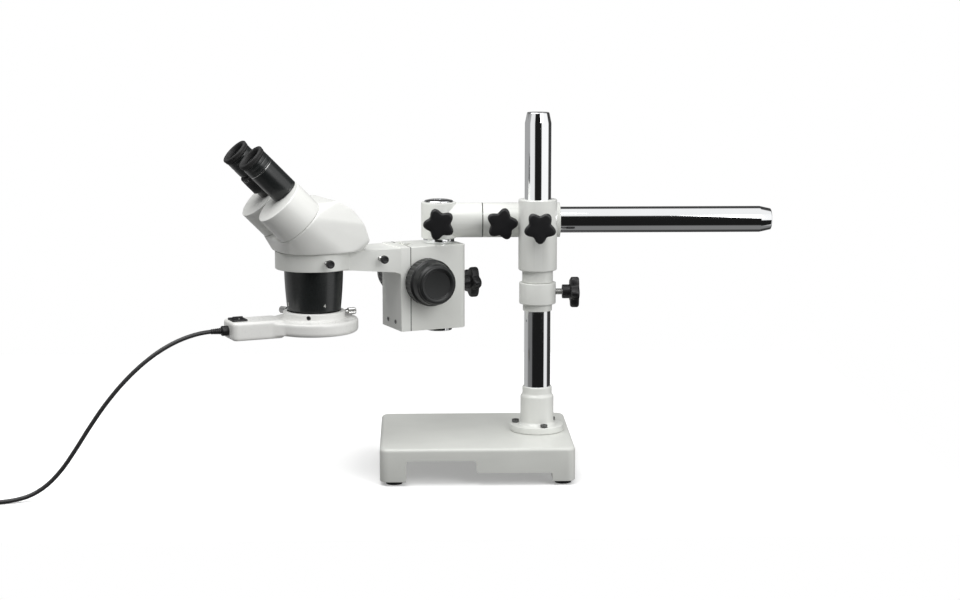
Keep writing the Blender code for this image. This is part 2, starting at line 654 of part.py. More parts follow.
def make_ocular(side, sign, body):
    """One prism housing with what it carries; sign is the side's direction along v."""
    axis = ocular_axis(side, sign)
    cut(body, rod_cutter(f"head_window_{side}", 10.0, -26.0, 2.0, axis, steps=16))
    housing = turned(f"prism_housing_{side}",
                     [(0, PRISM_LENGTH), (30.0, PRISM_LENGTH), (PRISM_R, PRISM_LENGTH - 1.0),
                      (PRISM_R, GAP), (27.5, GAP), (27.5, 33.0), (0, 33.0)], PAINT, axis)
    inward = -sign * TUBE_IN
    cut(housing, rod_cutter(f"prism_window_{side}", 10.5, 20.0, 50.0, axis,
                            (TUBE_UP, inward, 0), steps=16))
    middle = -sign * 3.2
    prism = block(f"prism_{side}", (-7.0, middle - 10.0, 3.0), (21.0, middle + 10.0, 29.0), GLASS,
                  axis)
    bevel = prism.modifiers.new("ground_edges", "BEVEL")
    bevel.width = 0.8 * MM
    bevel.segments = 1
    tube = add_axis(f"eyetube_{side}_axis", (TUBE_UP, inward, PRISM_LENGTH), axis)
    bore = EYEPIECE_R + GAP
    drop = 4.5 if side == "right" else 0.0
    if side == "right":
        shoulder = 40.3
        turned("eyetube_right", [(16.0, 40.0), (EYETUBE_R, 39.5), (EYETUBE_R, GAP), (bore, GAP),
                                 (bore, 40.0)], SATIN_BLACK, tube)
    else:
        shoulder = 36.2
        turned("eyetube_left", [(16.0, 33.0), (16.0, 9.0), (EYETUBE_R, 9.0), (EYETUBE_R, GAP),
                                (bore, GAP), (bore, 33.0)], SATIN_BLACK, tube)
        turned("diopter_ring", [(18.2, 33.0), (19.0, 32.2), (19.0, 10.1), (18.2, 9.3),
                                (16.0 + GAP, 9.3), (16.0 + GAP, 33.0)], BLACK, tube)
    top = 58.0 - drop
    turned(f"eyepiece_{side}", [(15.6, top), (16.5, top - 0.8), (16.5, shoulder + 0.6),
                                (16.0, shoulder), (EYEPIECE_R, shoulder), (EYEPIECE_R, 12.0),
                                (13.0, 12.0), (13.0, 38.0), (11.6, 40.0), (11.6, top)],
           SATIN_BLACK, tube)
    at = (0, 0, -drop)
    turned(f"eyecup_{side}", [(15.6, 64.8), (17.3, 63.9), (17.6, 62.6), (16.6, 58.3), (11.9, 58.3),
                              (11.9, 60.0), (13.2, 64.0)], RUBBER, tube, at)
    turned(f"eye_lens_{side}", [(0, 56.2), (5.0, 55.9), (9.0, 54.9), (11.2, 53.6), (11.2, 52.4),
                                (0, 51.6)], GLASS, tube, at, steps=16)


def make_turret():
    """The turning objective carrier; its neck runs inside the head's light well."""
    profile = [(0, 196.0), (23.0, 196.0), (23.0, 262.0), (25.7, 262.0), (25.7, 251.2),
               (35.0, 251.2), (35.4, 250.8), (35.3, 240.0), (34.7, 227.0), (33.6, 213.0),
               (32.2, 201.5), (31.4, 200.3), (TURRET_SPIGOT_R, 200.3), (TURRET_SPIGOT_R, 182.0),
               (28.0, TURRET_LOW), (0, TURRET_LOW)]
    turret = turned("turret", profile, SATIN_BLACK, head_axis, steps=28)
    cell = [(8.0, 222.0), (9.0, 221.0), (9.0, 183.0), (8.4, 182.4), (7.0, 182.4), (7.0, 222.0)]
    for side, sign in (("right", -1), ("left", 1)):
        at = (0, sign * OBJECTIVE_OFFSET, 0)
        cut(turret, rod_cutter(f"objective_hole_{side}", 9.3, 170.0, 210.0, head_axis, at,
                               steps=14))
        turned(f"objective_{side}", cell, STEEL, head_axis, at, steps=14)


# ---- the ring light ----------------------------------------------------------------------------

def make_ring_light():
    profile = [(36.4, 199.6), (37.2, 198.8), (37.2, 191.0), (38.2, 190.0), (51.0, 190.0),
               (53.0, 188.0), (53.0, 176.0), (51.0, 174.0), (34.2, 174.0), (LAMP_BORE_R, 175.5),
               (LAMP_BORE_R, 199.6)]
    housing = turned("ring_light_housing", profile, WHITE, head_axis, steps=32)
    join(housing, block("lamp_handle", (-HANDLE_END, -21.5, 171.5), (-45.0, 21.5, 193.5), None,
                        head_axis, corner=6.0, top=3.0))
    channel = turned("lamp_channel", [(48.8, 181.0), (48.8, 165.0), (36.7, 165.0), (36.7, 181.0)],
                     None, head_axis, steps=32)
    cut(housing,
        rod_cutter("lamp_bore_clear", LAMP_BORE_R, 165.0, 205.0, head_axis, steps=32),
        channel,
        block("switch_pocket", (-102.8, -9.8, 184.0), (-89.2, 9.8, 200.0), None, head_axis))
    for n in range(3):
        cut(housing, rod_cutter(f"lamp_screw_hole_{n + 1}", 2.7, 31.0, 44.0, head_axis,
                                (0, 0, LAMP_SCREW_Z), (0, 90.0, 120.0 * n), steps=12))
    for n, name in enumerate(("lamp_thumbscrew_right", "lamp_thumbscrew_left")):
        thumbscrew(name, head_axis, (0, 0, LAMP_SCREW_Z), (0, 90.0, 120.0 * n),
                   TURRET_SPIGOT_R + GAP, 41.0, 53.0, 4.2, STEEL)
    turned("lamp_set_screw", [(0, 34.4), (1.3, 34.4), (1.3, 36.4), (2.4, 36.4),
                              (2.4, TURRET_SPIGOT_R + GAP), (0, TURRET_SPIGOT_R + GAP)],
           STEEL, head_axis, (0, 0, LAMP_SCREW_Z), (0, 90.0, 240.0), steps=12)


def make_lamp():
    mesh = bpy.data.meshes.new("ring_lamp")
    bm = bmesh.new()
    bmesh.ops.create_circle(bm, cap_ends=False, segments=8, radius=3.2 * MM)
    bm.to_mesh(mesh)
    bm.free()
    for v in mesh.vertices:
        v.co = Vector((v.co.x + 42.75 * MM, 0.0, v.co.y + 177.3 * MM))
    lamp = add_piece("ring_lamp", mesh, WHITE, head_axis)
    screw = lamp.modifiers.new("turn", "SCREW")
    screw.axis = "Z"
    screw.angle = 2 * math.pi
    screw.steps = 28
    screw.render_steps = 28
    screw.use_merge_vertices = True
    screw.merge_threshold = 0.00001
    screw.use_smooth_shade = True


def make_switch():
    """A rocker whose long way is across the handle; it is widest where it pivots."""
    outline = [(-8.2, -4.0), (8.2, -4.0), (8.2, 5.4), (4.0, 6.6), (0.0, 8.4), (-4.0, 6.6),
               (-8.2, 5.4)]
    slab("rocker_switch", outline, -6.2, 6.2, BLACK, head_axis, (-96.0, 0, 190.0),
         (90.0, 0, 90.0))


def make_gland():
    profile = [(0, GLAND_LENGTH), (3.0, GLAND_LENGTH), (4.0, 8.8), (5.5, 8.3), (6.0, 7.6),
               (6.0, GAP), (0, GAP)]
    turned("cord_gland", profile, BLACK, head_axis, (-HANDLE_END, 0, GLAND_Z), AGAINST_X,
           steps=14)


# ---- the lead ----------------------------------------------------------------------------------

def smooth_route(points, spacing):
    """Points about one spacing apart on a smooth curve through the given ones."""
    points = [Vector(p) for p in points]
    ends = [2 * points[0] - points[1]] + points + [2 * points[-1] - points[-2]]
    fine = []
    for a, b, c, d in zip(ends, ends[1:], ends[2:], ends[3:]):
        count = max(1, round((c - b).length / spacing))
        for i in range(count):
            t = i / count
            fine.append(0.5 * (2 * b + (c - a) * t + (2 * a - 5 * b + 4 * c - d) * t * t
                               + (3 * b - a - 3 * c + d) * t ** 3))
    fine.append(points[-1])
    return fine


def make_cord():
    curve = bpy.data.curves.new("power_cord", "CURVE")
    curve.dimensions = "3D"
    curve.bevel_depth = CORD_R * MM
    curve.bevel_resolution = 2
    curve.use_fill_caps = True
    points = smooth_route(CORD_ROUTE, 5.0 * CORD_R)
    spline = curve.splines.new("POLY")
    spline.points.add(len(points) - 1)
    for point, place in zip(spline.points, points):
        point.co = (*(place * MM), 1.0)
    cord = bpy.data.objects.new("power_cord", curve)
    cord.parent = stand
    PARTS.objects.link(cord)
    curve.materials.append(make_material("power_cord", *RUBBER))


def make_coil():
    turned("cord_coil", [(COIL_OUTER_R, COIL_HIGH), (COIL_OUTER_R, GAP), (COIL_INNER_R, GAP),
                         (COIL_INNER_R, COIL_HIGH)], RUBBER, stand, (*COIL_CENTRE, 0), steps=26)


def make_plug():
    """A two-pin mains plug with a tapered tail, lying beside the coil."""
    x = COIL_CENTRE[0] - COIL_R
    y = COIL_CENTRE[1] + 26.5
    plug = block("plug", (-9.5, 18.0, GAP), (9.5, 46.0, 14.3), BLACK, stand, corner=3.0, top=2.0,
                 location=(x, y, 0))
    tail = turned("plug_tail", [(0, 20.0), (5.2, 20.0), (3.2, 0.0), (0, 0.0)], None, stand,
                  (x, y, 7.3), ALONG_Y, steps=12, start=4.0)
    join(plug, tail)
    for n, side in enumerate((-6.3, 6.3)):
        join(plug, block(f"plug_pin_{n + 1}", (side - 0.8, 44.0, 4.2), (side + 0.8, 62.0, 10.4),
                         None, stand, location=(x, y, 0)))


make_base()
make_feet()
make_flange()
make_pillar()
make_safety_collar()
make_cross_block()
make_boom()
make_knuckle()
make_mounting_pin()
make_focus_housing()
make_focus_drive()
make_rack()
make_carriage()
make_carriage_screws()
head = make_head_body()
make_ocular("right", -1, head)
make_ocular("left", 1, head)
make_turret()
make_ring_light()
make_lamp()
make_switch()
make_gland()
make_cord()
make_coil()
make_plug()
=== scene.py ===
"""Looks of the stereo microscope on its boom stand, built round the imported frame.

Shapes are drawn in millimetres in the frame of the part that carries them: STAND stands on the
pillar's axis, BOOM on the boom's, PIN on the mounting pin's (its X runs from the head towards the
pin), HEAD on the head's, and each eyetube has one. Heights in upright frames are above the table.
"""

import json
import math

import bmesh
import bpy
from mathutils import Matrix, Vector

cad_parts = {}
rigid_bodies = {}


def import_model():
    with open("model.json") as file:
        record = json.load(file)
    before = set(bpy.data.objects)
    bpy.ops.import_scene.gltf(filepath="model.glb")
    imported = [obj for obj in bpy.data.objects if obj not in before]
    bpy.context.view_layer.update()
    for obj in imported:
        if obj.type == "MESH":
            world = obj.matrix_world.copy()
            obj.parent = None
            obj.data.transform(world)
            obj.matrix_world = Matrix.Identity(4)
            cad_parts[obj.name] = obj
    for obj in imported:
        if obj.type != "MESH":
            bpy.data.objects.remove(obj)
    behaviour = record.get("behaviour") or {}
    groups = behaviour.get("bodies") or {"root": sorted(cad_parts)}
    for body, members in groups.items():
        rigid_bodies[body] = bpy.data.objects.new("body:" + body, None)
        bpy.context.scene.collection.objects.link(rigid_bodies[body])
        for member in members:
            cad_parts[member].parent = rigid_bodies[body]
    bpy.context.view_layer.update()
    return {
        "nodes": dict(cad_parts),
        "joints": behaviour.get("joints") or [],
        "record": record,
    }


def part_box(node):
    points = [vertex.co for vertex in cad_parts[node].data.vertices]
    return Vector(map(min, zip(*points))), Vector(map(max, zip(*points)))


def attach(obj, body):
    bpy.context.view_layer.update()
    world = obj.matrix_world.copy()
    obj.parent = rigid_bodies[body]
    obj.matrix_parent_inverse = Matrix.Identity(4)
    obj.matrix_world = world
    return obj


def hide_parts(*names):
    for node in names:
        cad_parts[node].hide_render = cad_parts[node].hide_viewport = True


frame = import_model()

MM = 0.001
GAP = 0.3  # clearance between pieces that touch
RECORD = frame["record"]
BODY = {node: body for body, nodes in RECORD["behaviour"]["bodies"].items() for node in nodes}
SLOT = {part["node"]: part["material_slot"] for part in RECORD["subparts"]}
JOINTS = {joint["name"]: joint for joint in frame["joints"]}


# ---- frames ----

def joint_place(name):
    return Vector(JOINTS[name]["pos_m"]) / MM


def at(x=0.0, y=0.0, z=0.0):
    return Matrix.Translation((x, y, z))


def shifted(where, x=0.0, y=0.0, z=0.0):
    return where @ at(x, y, z)


def node_box(node):
    """A node's lowest and highest corners in millimetres."""
    return [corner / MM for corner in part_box(node)]


def upright(place, turn=0.0):
    """A frame on the table under a place, turned about Z."""
    return at(place.x, place.y) @ Matrix.Rotation(turn, 4, "Z")


def turn_x(angle):
    return Matrix.Rotation(math.radians(angle), 4, "X")


def turn_y(angle):
    return Matrix.Rotation(math.radians(angle), 4, "Y")


def turn_z(angle):
    return Matrix.Rotation(math.radians(angle), 4, "Z")


ALONG_X = turn_y(90.0)
AGAINST_X = turn_y(-90.0)
ALONG_Y = turn_x(-90.0)
AGAINST_Y = turn_x(90.0)

pillar_place = joint_place("boom_swivel")
boom_place = joint_place("boom_roll")
pin_place = joint_place("head_swing")
head_place = joint_place("head_turn")
shaft_place = joint_place("focus_drive")
HEAD_REACH = (pin_place - head_place).xy.length
YAW = math.atan2(pin_place.y - head_place.y, pin_place.x - head_place.x)
STAND = upright(pillar_place)
BOOM = at(pillar_place.x, boom_place.y, boom_place.z)
PIN = upright(pin_place, YAW)
HEAD = upright(head_place, YAW)
SHAFT = Matrix.Translation(shaft_place) @ Matrix.Rotation(YAW, 4, "Z")
OCULAR = {side: Matrix.Translation(joint_place(f"ipd_{side}")) @ Matrix.Rotation(YAW, 4, "Z")
          @ turn_y(-45.0) for side in ("right", "left")}
BOOM_Y = boom_place.y - pillar_place.y
BOOM_Z = boom_place.z
PIN_X = pin_place.x - pillar_place.x

ROD_R = 16.0
BORE_R = ROD_R + GAP
BASE_LEFT = -192.0
BASE_RIGHT = 40.0
BASE_HALF_DEPTH = 102.5
BASE_TOP = 45.0
COLLAR_STUD_Z = joint_place("collar_clamp").z
BLOCK_CLAMP_Z = joint_place("block_clamp").z
CARRIAGE_SCREW_Z = 262.0  # of the screws on the arm and the ring
SHAFT_X = -31.0           # of the focus knobs' shaft, from the mounting pin
BOOM_CLAMP_X = joint_place("boom_clamp").x - pillar_place.x
HOUSING_LOW = 170.3
HOUSING_HIGH = 273.0
HALF_WIDTH = 31.0
PLATE_FRONT = -62.7
HOUSING_FRONT = -50.4
HOUSING_BACK = 23.7
RING_LOW = 251.0
RING_HIGH = 272.0
PRISM_R = 31.0
PRISM_LENGTH = 37.2
PRISM_SPACING = 63.5
TUBE_UP = 15.0
TUBE_IN = 6.75
EYETUBE = {side: shifted(OCULAR[side], TUBE_UP, -sign * TUBE_IN, PRISM_LENGTH)
           for side, sign in (("right", -1), ("left", 1))}
LAMP_SCREW_Z = joint_place("lamp_screw_right").z
HANDLE_END = 108.0
GLAND_Z = 182.0


# ---- camera, floor and light ----

def add_object(name, data):
    obj = bpy.data.objects.new(name, data)
    bpy.context.scene.collection.objects.link(obj)
    return obj


def mesh_from(name, bm):
    mesh = bpy.data.meshes.new(name)
    bm.to_mesh(mesh)
    bm.free()
    return mesh


def make_camera():
    data = bpy.data.cameras.new("camera")
    data.lens = 75.0
    data.sensor_width = 36.0
    data.clip_end = 50.0
    camera = add_object("camera", data)
    camera.location = (pillar_place + Vector((-151.9, -2406.2, 0.0))) * MM
    camera.location.z = 582.6 * MM
    look = Vector((0.0336, 0.98747, -0.1542))
    camera.rotation_euler = look.to_track_quat("-Z", "Y").to_euler()
    bpy.context.scene.camera = camera


def make_area_light(name, place, target, size, power):
    data = bpy.data.lights.new(name, "AREA")
    data.shape = "RECTANGLE"
    data.size, data.size_y = size
    data.energy = power
    light = add_object(name, data)
    light.location = place
    light.rotation_euler = (Vector(target) - Vector(place)).to_track_quat("-Z", "Y").to_euler()


def make_floor():
    """A pale sheet of paper. It only catches shadows: the studio's own grey floor is what lights
    the object from below and what the rods reflect."""
    bm = bmesh.new()
    bmesh.ops.create_grid(bm, x_segments=1, y_segments=1, size=1.0)
    bmesh.ops.scale(bm, vec=(0.72, 0.55, 1.0), verts=bm.verts)
    bmesh.ops.translate(bm, vec=(-0.17, 0.22, 0.0), verts=bm.verts)
    mesh = mesh_from("floor", bm)
    floor = add_object("floor", mesh)
    floor.visible_glossy = False
    floor.visible_diffuse = False
    mat, tree, shader = new_material("floor_paper")
    set_inputs(tree, shader, {
        "Base Color": (0.93, 0.93, 0.93, 1.0), "Roughness": 0.9, "Specular IOR Level": 0.1,
        "Emission Color": (1.0, 1.0, 1.0, 1.0), "Emission Strength": 0.22})
    mesh.materials.append(mat)


# Brightness of the studio's walls by bearing, in degrees right of its dark end, at the height of
# the objects' tops and lower down
WALLS_HIGH = (
    (-180.0, 0.35), (-120.0, 0.42), (-80.0, 0.40), (-72.0, 0.95), (-34.0, 0.90), (-29.0, 0.012),
    (25.0, 0.012), (31.0, 1.1), (94.0, 1.1), (102.0, 0.05), (150.0, 0.06), (180.0, 0.35),
)
WALLS_LOW = (
    (-180.0, 0.50), (-100.0, 0.45), (-88.0, 0.20), (-52.0, 0.17), (-46.0, 0.012), (54.0, 0.012),
    (60.0, 0.9), (88.0, 0.9), (96.0, 0.04), (170.0, 0.04), (180.0, 0.30),
)


def make_world():
    """A soft white studio. Glossy surfaces see its walls: dark behind the camera, soft boxes at
    both sides, a white ceiling and a grey floor."""
    world = bpy.data.worlds.new("studio")
    bpy.context.scene.world = world
    world.use_nodes = True
    tree = world.node_tree

    def math_node(operation, first, second):
        return add_node(tree, "Math", {0: first, 1: second}, "Value", operation=operation)

    def wall_tone(levels):
        stops = [((angle + 180.0) / 360.0, (level, level, level)) for angle, level in levels]
        return add_ramp(tree, turn, stops)

    place = add_node(tree, "TexCoord", {}, "Generated")
    right, back, up = (add_node(tree, "SeparateXYZ", {"Vector": place}, axis) for axis in "XYZ")
    front = math_node("MULTIPLY", back, -1.0)
    bearing = math_node("ARCTAN2", right, front)
    turn = math_node("ADD", math_node("DIVIDE", bearing, 2 * math.pi), 0.5)
    walls = mixed(tree, ranged(tree, up, -0.13, -0.09), wall_tone(WALLS_LOW), wall_tone(WALLS_HIGH))
    behind = ranged(tree, back, 0.15, 0.3)
    far = math_node("MULTIPLY", behind, ranged(tree, up, 0.1, 0.3))
    walls = mixed(tree, far, walls, 0.06)
    walls = mixed(tree, ranged(tree, up, -0.74, -0.84), walls, mixed(tree, behind, 0.22, 0.05))
    slope = math_node("ADD", up, math_node("MULTIPLY", front, 0.242))
    studio = mixed(tree, ranged(tree, slope, 0.76, 0.83), walls, 1.0)
    sideways = math_node("ADD", math_node("MULTIPLY", right, 0.8), math_node("MULTIPLY", back, 0.35))
    soft = ranged(tree, math_node("ADD", up, sideways), -0.7, 1.0, 0.15, 0.85)
    seen = mixed(tree, add_node(tree, "LightPath", {}, "Is Glossy Ray"), soft, studio)
    seen = mixed(tree, add_node(tree, "LightPath", {}, "Is Camera Ray"), seen, 1.0)
    set_inputs(tree, tree.nodes["Background"], {"Color": seen, "Strength": 1.0})


def make_lights():
    make_area_light("soft_right", (1.0, -1.6, 1.2), (0.0, 0.0, 0.2), (0.9, 1.0), 11.5)
    make_area_light("soft_top", (-0.5, -0.3, 1.35), (-0.1, 0.0, 0.2), (1.3, 0.8), 12.5)
    bpy.context.scene.view_settings.view_transform = "Standard"


# ---- materials ----

def new_material(name):
    mat = bpy.data.materials.new(name)
    mat.use_nodes = True
    return mat, mat.node_tree, mat.node_tree.nodes["Principled BSDF"]


def set_inputs(tree, node, inputs):
    """Gives a node's inputs their values, or links them to other nodes' outputs."""
    for name, value in inputs.items():
        if isinstance(value, bpy.types.NodeSocket):
            tree.links.new(value, node.inputs[name])
        else:
            node.inputs[name].default_value = value


def add_node(tree, kind, inputs, output, **settings):
    node = tree.nodes.new(f"ShaderNode{kind}")
    for name, value in settings.items():
        setattr(node, name, value)
    set_inputs(tree, node, inputs)
    return node.outputs[output]


def add_noise(tree, scale, detail=3.0, stretch=(1.0, 1.0, 1.0)):
    """Noise in the object's own coordinates; scale is in waves per metre."""
    place = add_node(tree, "TexCoord", {}, "Object")
    place = add_node(tree, "Mapping", {"Vector": place, "Scale": stretch}, "Vector")
    return add_node(tree, "TexNoise", {"Vector": place, "Scale": scale, "Detail": detail}, "Fac")


def add_ramp(tree, source, stops):
    """A colour ramp through (value, colour) stops."""
    node = tree.nodes.new("ShaderNodeValToRGB")
    elements = node.color_ramp.elements
    while len(elements) < len(stops):
        elements.new(0.5)
    for element, (value, colour) in zip(elements, stops):
        element.position = value
        element.color = (*colour, 1.0)
    set_inputs(tree, node, {"Fac": source})
    return node.outputs["Color"]


def ranged(tree, source, start, end, low=0.0, high=1.0):
    """Maps start to end of a source to the range low to high."""
    return add_node(tree, "MapRange", {"Value": source, "From Min": start, "From Max": end,
                                       "To Min": low, "To Max": high}, "Result")


def mixed(tree, factor, first, second):
    """A blend of two colours; a plain number is a grey."""
    first, second = ((value, value, value, 1.0) if isinstance(value, float) else value
                     for value in (first, second))
    return add_node(tree, "Mix", {"Factor": factor, "A": first, "B": second}, "Result",
                    data_type="RGBA")


def scaled(colour, factor):
    return tuple(min(1.0, c * factor) for c in colour)


def surface(name, colour, roughness, grain, depth, vary=0.03, metallic=0.0, coat=0.0,
            stretch=(1.0, 1.0, 1.0), edge=None):
    """A finish with cloudy colour, uneven gloss and a fine bumped grain of `grain` waves a metre.
    edge is the colour of the painted highlight that raised edges take."""
    mat, tree, shader = new_material(name)
    cloud = add_noise(tree, 26.0, 4.0)
    tint = add_ramp(tree, cloud, ((0.3, scaled(colour, 1.0 - vary)),
                                  (0.7, scaled(colour, 1.0 + vary))))
    if edge:
        # painted highlight: raised edges, found by pointiness, are lightened towards the edge colour
        raised = add_node(tree, "NewGeometry", {}, "Pointiness")
        tint = mixed(tree, ranged(tree, raised, 0.56, 0.68, 0.0, 0.5), tint, (*edge, 1.0))
    fine = add_noise(tree, grain, 2.0, stretch)
    gloss = ranged(tree, fine, 0.3, 0.7, roughness * 0.85, roughness * 1.15)
    bump = add_node(tree, "Bump", {"Height": fine, "Distance": depth * MM, "Strength": 1.0},
                    "Normal")
    set_inputs(tree, shader, {
        "Base Color": tint, "Roughness": gloss, "Normal": bump, "Metallic": metallic,
        "Coat Weight": coat, "Coat Roughness": 0.12})
    return mat


def make_glass():
    """Coated lens glass with a dark depth and a faint violet-green bloom."""
    mat, tree, shader = new_material("coated_glass")
    facing = add_node(tree, "LayerWeight", {"Blend": 0.35}, "Facing")
    tint = add_ramp(tree, facing, ((0.1, (0.05, 0.08, 0.10)), (0.9, (0.22, 0.12, 0.30))))
    gloss = ranged(tree, add_noise(tree, 160.0), 0.3, 0.7, 0.02, 0.06)
    set_inputs(tree, shader, {
        "Base Color": tint, "Roughness": gloss, "IOR": 1.6, "Transmission Weight": 0.45,
        "Coat Weight": 0.6})
    return mat


# Each edge colour below is a painted highlight that lightens the finish's raised edges
ENAMEL = surface("stand_enamel", (0.80, 0.81, 0.775), 0.34, 900.0, 0.012, 0.02, coat=0.25,
                 edge=(0.86, 0.87, 0.84))
BASE_ENAMEL = surface("base_enamel", (0.69, 0.70, 0.665), 0.42, 1100.0, 0.03, 0.025, coat=0.12,
                      edge=(0.80, 0.81, 0.78))
HEAD_ENAMEL = surface("head_enamel", (0.87, 0.875, 0.845), 0.32, 800.0, 0.012, 0.02, coat=0.3,
                      edge=(0.90, 0.905, 0.88))
CHROME = surface("chrome", (0.86, 0.87, 0.88), 0.055, 2500.0, 0.001, 0.015, metallic=1.0)
STEEL = surface("turned_steel", (0.60, 0.60, 0.59), 0.24, 2200.0, 0.006, 0.05, metallic=1.0,
                stretch=(1.0, 1.0, 6.0))
DARK_STEEL = surface("dark_steel", (0.16, 0.16, 0.16), 0.35, 1500.0, 0.005, 0.06, metallic=1.0)
BRASS = surface("brass", (0.72, 0.55, 0.25), 0.28, 1800.0, 0.004, 0.04, metallic=1.0)
KNOB_BLACK = surface("moulded_black", (0.007, 0.007, 0.008), 0.42, 1300.0, 0.015, 0.15,
                     edge=(0.02, 0.02, 0.02))
FOCUS_BLACK = surface("focus_knob_black", (0.007, 0.008, 0.008), 0.36, 1600.0, 0.015, 0.12,
                      edge=(0.02, 0.022, 0.02))
TUBE_BLACK = surface("satin_black", (0.014, 0.016, 0.016), 0.3, 1900.0, 0.006, 0.1, coat=0.2)
RUBBER = surface("rubber", (0.014, 0.014, 0.014), 0.7, 600.0, 0.004, 0.12)
JACKET = surface("cord_jacket", (0.012, 0.012, 0.013), 0.4, 700.0, 0.015, 0.12)
WHITE_PLASTIC = surface("white_plastic", (0.86, 0.86, 0.835), 0.3, 700.0, 0.01, 0.015, coat=0.2,
                        edge=(0.9, 0.9, 0.88))
TUBE_WHITE = surface("lamp_tube_white", (0.92, 0.92, 0.90), 0.2, 300.0, 0.004, 0.01, coat=0.5)
MARK_WHITE = surface("mark_paint", (0.80, 0.80, 0.76), 0.5, 900.0, 0.004, 0.03)
# painted shade: this black fills the seams at the knuckle's end and along the slide, where there is
# only shade; the field stop is black in its own right
SEAM_SHADE_AND_STOP_BLACK = surface("seam_shadow", (0.02, 0.02, 0.02), 0.8, 600.0, 0.01, 0.1)
GLASS = make_glass()


# ---- piece helpers ----

def add_piece(name, bm, where, look, body, replaced=(), sharp=34.0, edge=0.0):
    """Turns a shape drawn in millimetres in a frame into a piece that rides on a body.
    edge is the width in millimetres of the rounding that its sharp edges still need."""
    bmesh.ops.recalc_face_normals(bm, faces=bm.faces)
    bm.transform(where)
    bmesh.ops.scale(bm, vec=(MM, MM, MM), verts=bm.verts)
    mesh = mesh_from(name, bm)
    mesh.materials.append(look)
    mesh.shade_smooth()
    mesh.set_sharp_from_angle(angle=math.radians(sharp))
    obj = add_object(name, mesh)
    if edge:
        bevel = obj.modifiers.new("edges", "BEVEL")
        bevel.width = edge * MM
        bevel.segments = 3
        bevel.limit_method = "ANGLE"
        bevel.angle_limit = math.radians(38.0)
        bevel.use_clamp_overlap = True
        bevel.harden_normals = True
    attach(obj, body)
    if replaced:
        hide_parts(*replaced)
    return obj


def stand_for(node, bm, where, look, sharp=34.0, edge=0.0):
    """The fine piece that stands for a CAD node, on the node's body."""
    return add_piece(f"{node}_fine", bm, where, look, BODY[node], (node,), sharp, edge)


def extra(name, bm, where, look, like, edge=0.0):
    """A small piece with no CAD node. It rides with a node."""
    return add_piece(name, bm, where, look, BODY[like], edge=edge)


def softened(points, radius, closed=False):
    """The outline with its corners rounded off by short curves."""
    steps = 4
    points = [Vector(p) for p in points]
    last = len(points) - 1
    out = []
    for i, p in enumerate(points):
        if not closed and i in (0, last):
            out.append(p)
            continue
        to_before = points[i - 1] - p
        to_after = points[(i + 1) % len(points)] - p
        if to_before.length < 1e-6 or to_after.length < 1e-6:
            continue
        bend = math.pi - to_before.angle(to_after)
        if bend < math.radians(12.0):
            out.append(p)
            continue
        reach = min(radius, 0.45 * to_before.length, 0.45 * to_after.length)
        a = p + to_before.normalized() * reach
        b = p + to_after.normalized() * reach
        for k in range(steps + 1):
            t = k / steps
            out.append((1 - t) ** 2 * a + 2 * t * (1 - t) * p + t * t * b)
    return [tuple(p) for p in out]


def lathe(profile, steps=96, soft=0.4, ripple=None):
    """A turned shape from a (radius, height) outline; one that leaves the axis is closed into a
    ring. ripple(radius, height, angle) gives a new radius."""
    closed = profile[0][0] > 1e-6
    outline = softened(profile, soft, closed) if soft else profile
    bm = bmesh.new()
    columns = []
    poles = {}
    for n in range(steps):
        angle = 2 * math.pi * n / steps
        column = []
        for i, (radius, height) in enumerate(outline):
            if radius < 1e-6:
                if i not in poles:
                    poles[i] = bm.verts.new((0.0, 0.0, height))
                column.append(poles[i])
            else:
                r = ripple(radius, height, angle) if ripple else radius
                column.append(bm.verts.new((r * math.cos(angle), r * math.sin(angle), height)))
        columns.append(column)
    rows = len(outline)
    for n in range(steps):
        here = columns[n]
        after = columns[(n + 1) % steps]
        for i in range(rows if closed else rows - 1):
            j = (i + 1) % rows
            corners = []
            for vert in (here[i], here[j], after[j], after[i]):
                if vert not in corners:
                    corners.append(vert)
            if len(corners) > 2:
                bm.faces.new(corners)
    return bm


def knurl(depth, count, outer, low, high, power=1):
    """A ripple for lathe: grooves where the radius is over outer, between two heights."""
    def ripple(radius, height, angle):
        if radius > outer and low < height < high:
            return radius - depth * (0.5 + 0.5 * math.cos(count * angle)) ** power
        return radius
    return ripple


def loft(sections):
    """A closed shape through (height, outline) sections of one point count."""
    bm = bmesh.new()
    rings = [[bm.verts.new((x, y, height)) for x, y in outline] for height, outline in sections]
    for lower, upper in zip(rings, rings[1:]):
        for i in range(len(lower)):
            bm.faces.new((lower[i - 1], lower[i], upper[i], upper[i - 1]))
    bm.faces.new(rings[0])
    bm.faces.new(rings[-1])
    return bm


def slab(outline, low, high):
    return loft([(low, outline), (high, outline)])


def box(low, high, corner=0.0, rim=0.0, foot=None, corner_at=lambda p: True):
    """A block with rounded upright edges and rounded rims at its top and foot."""
    bm = bmesh.new()
    bmesh.ops.create_cube(bm, size=1.0)
    low = Vector(low)
    high = Vector(high)
    for v in bm.verts:
        v.co = Vector([(low[i] + high[i]) / 2 + v.co[i] * (high[i] - low[i]) for i in range(3)])

    def round_off(wanted, radius, segments):
        edges = [e for e in bm.edges if wanted(e.verts[0].co, e.verts[1].co)]
        bmesh.ops.bevel(bm, geom=edges, offset=radius, segments=segments, profile=0.5,
                        affect="EDGES")

    if corner:
        round_off(lambda a, b: (a - b).xy.length < 0.001 and corner_at(a), corner, 8)
    if rim:
        round_off(lambda a, b: min(a.z, b.z) > high.z - 0.001, rim, 5)
    foot = rim if foot is None else foot
    if foot:
        round_off(lambda a, b: max(a.z, b.z) < low.z + 0.001, foot, 5)
    return bm


def moved(bm, where):
    bm.transform(where)
    return bm


def merge(*shapes):
    """Several separate shapes as one bmesh."""
    whole = shapes[0]
    for shape in shapes[1:]:
        mesh = mesh_from("part", shape)
        whole.from_mesh(mesh)
        bpy.data.meshes.remove(mesh)
    return whole


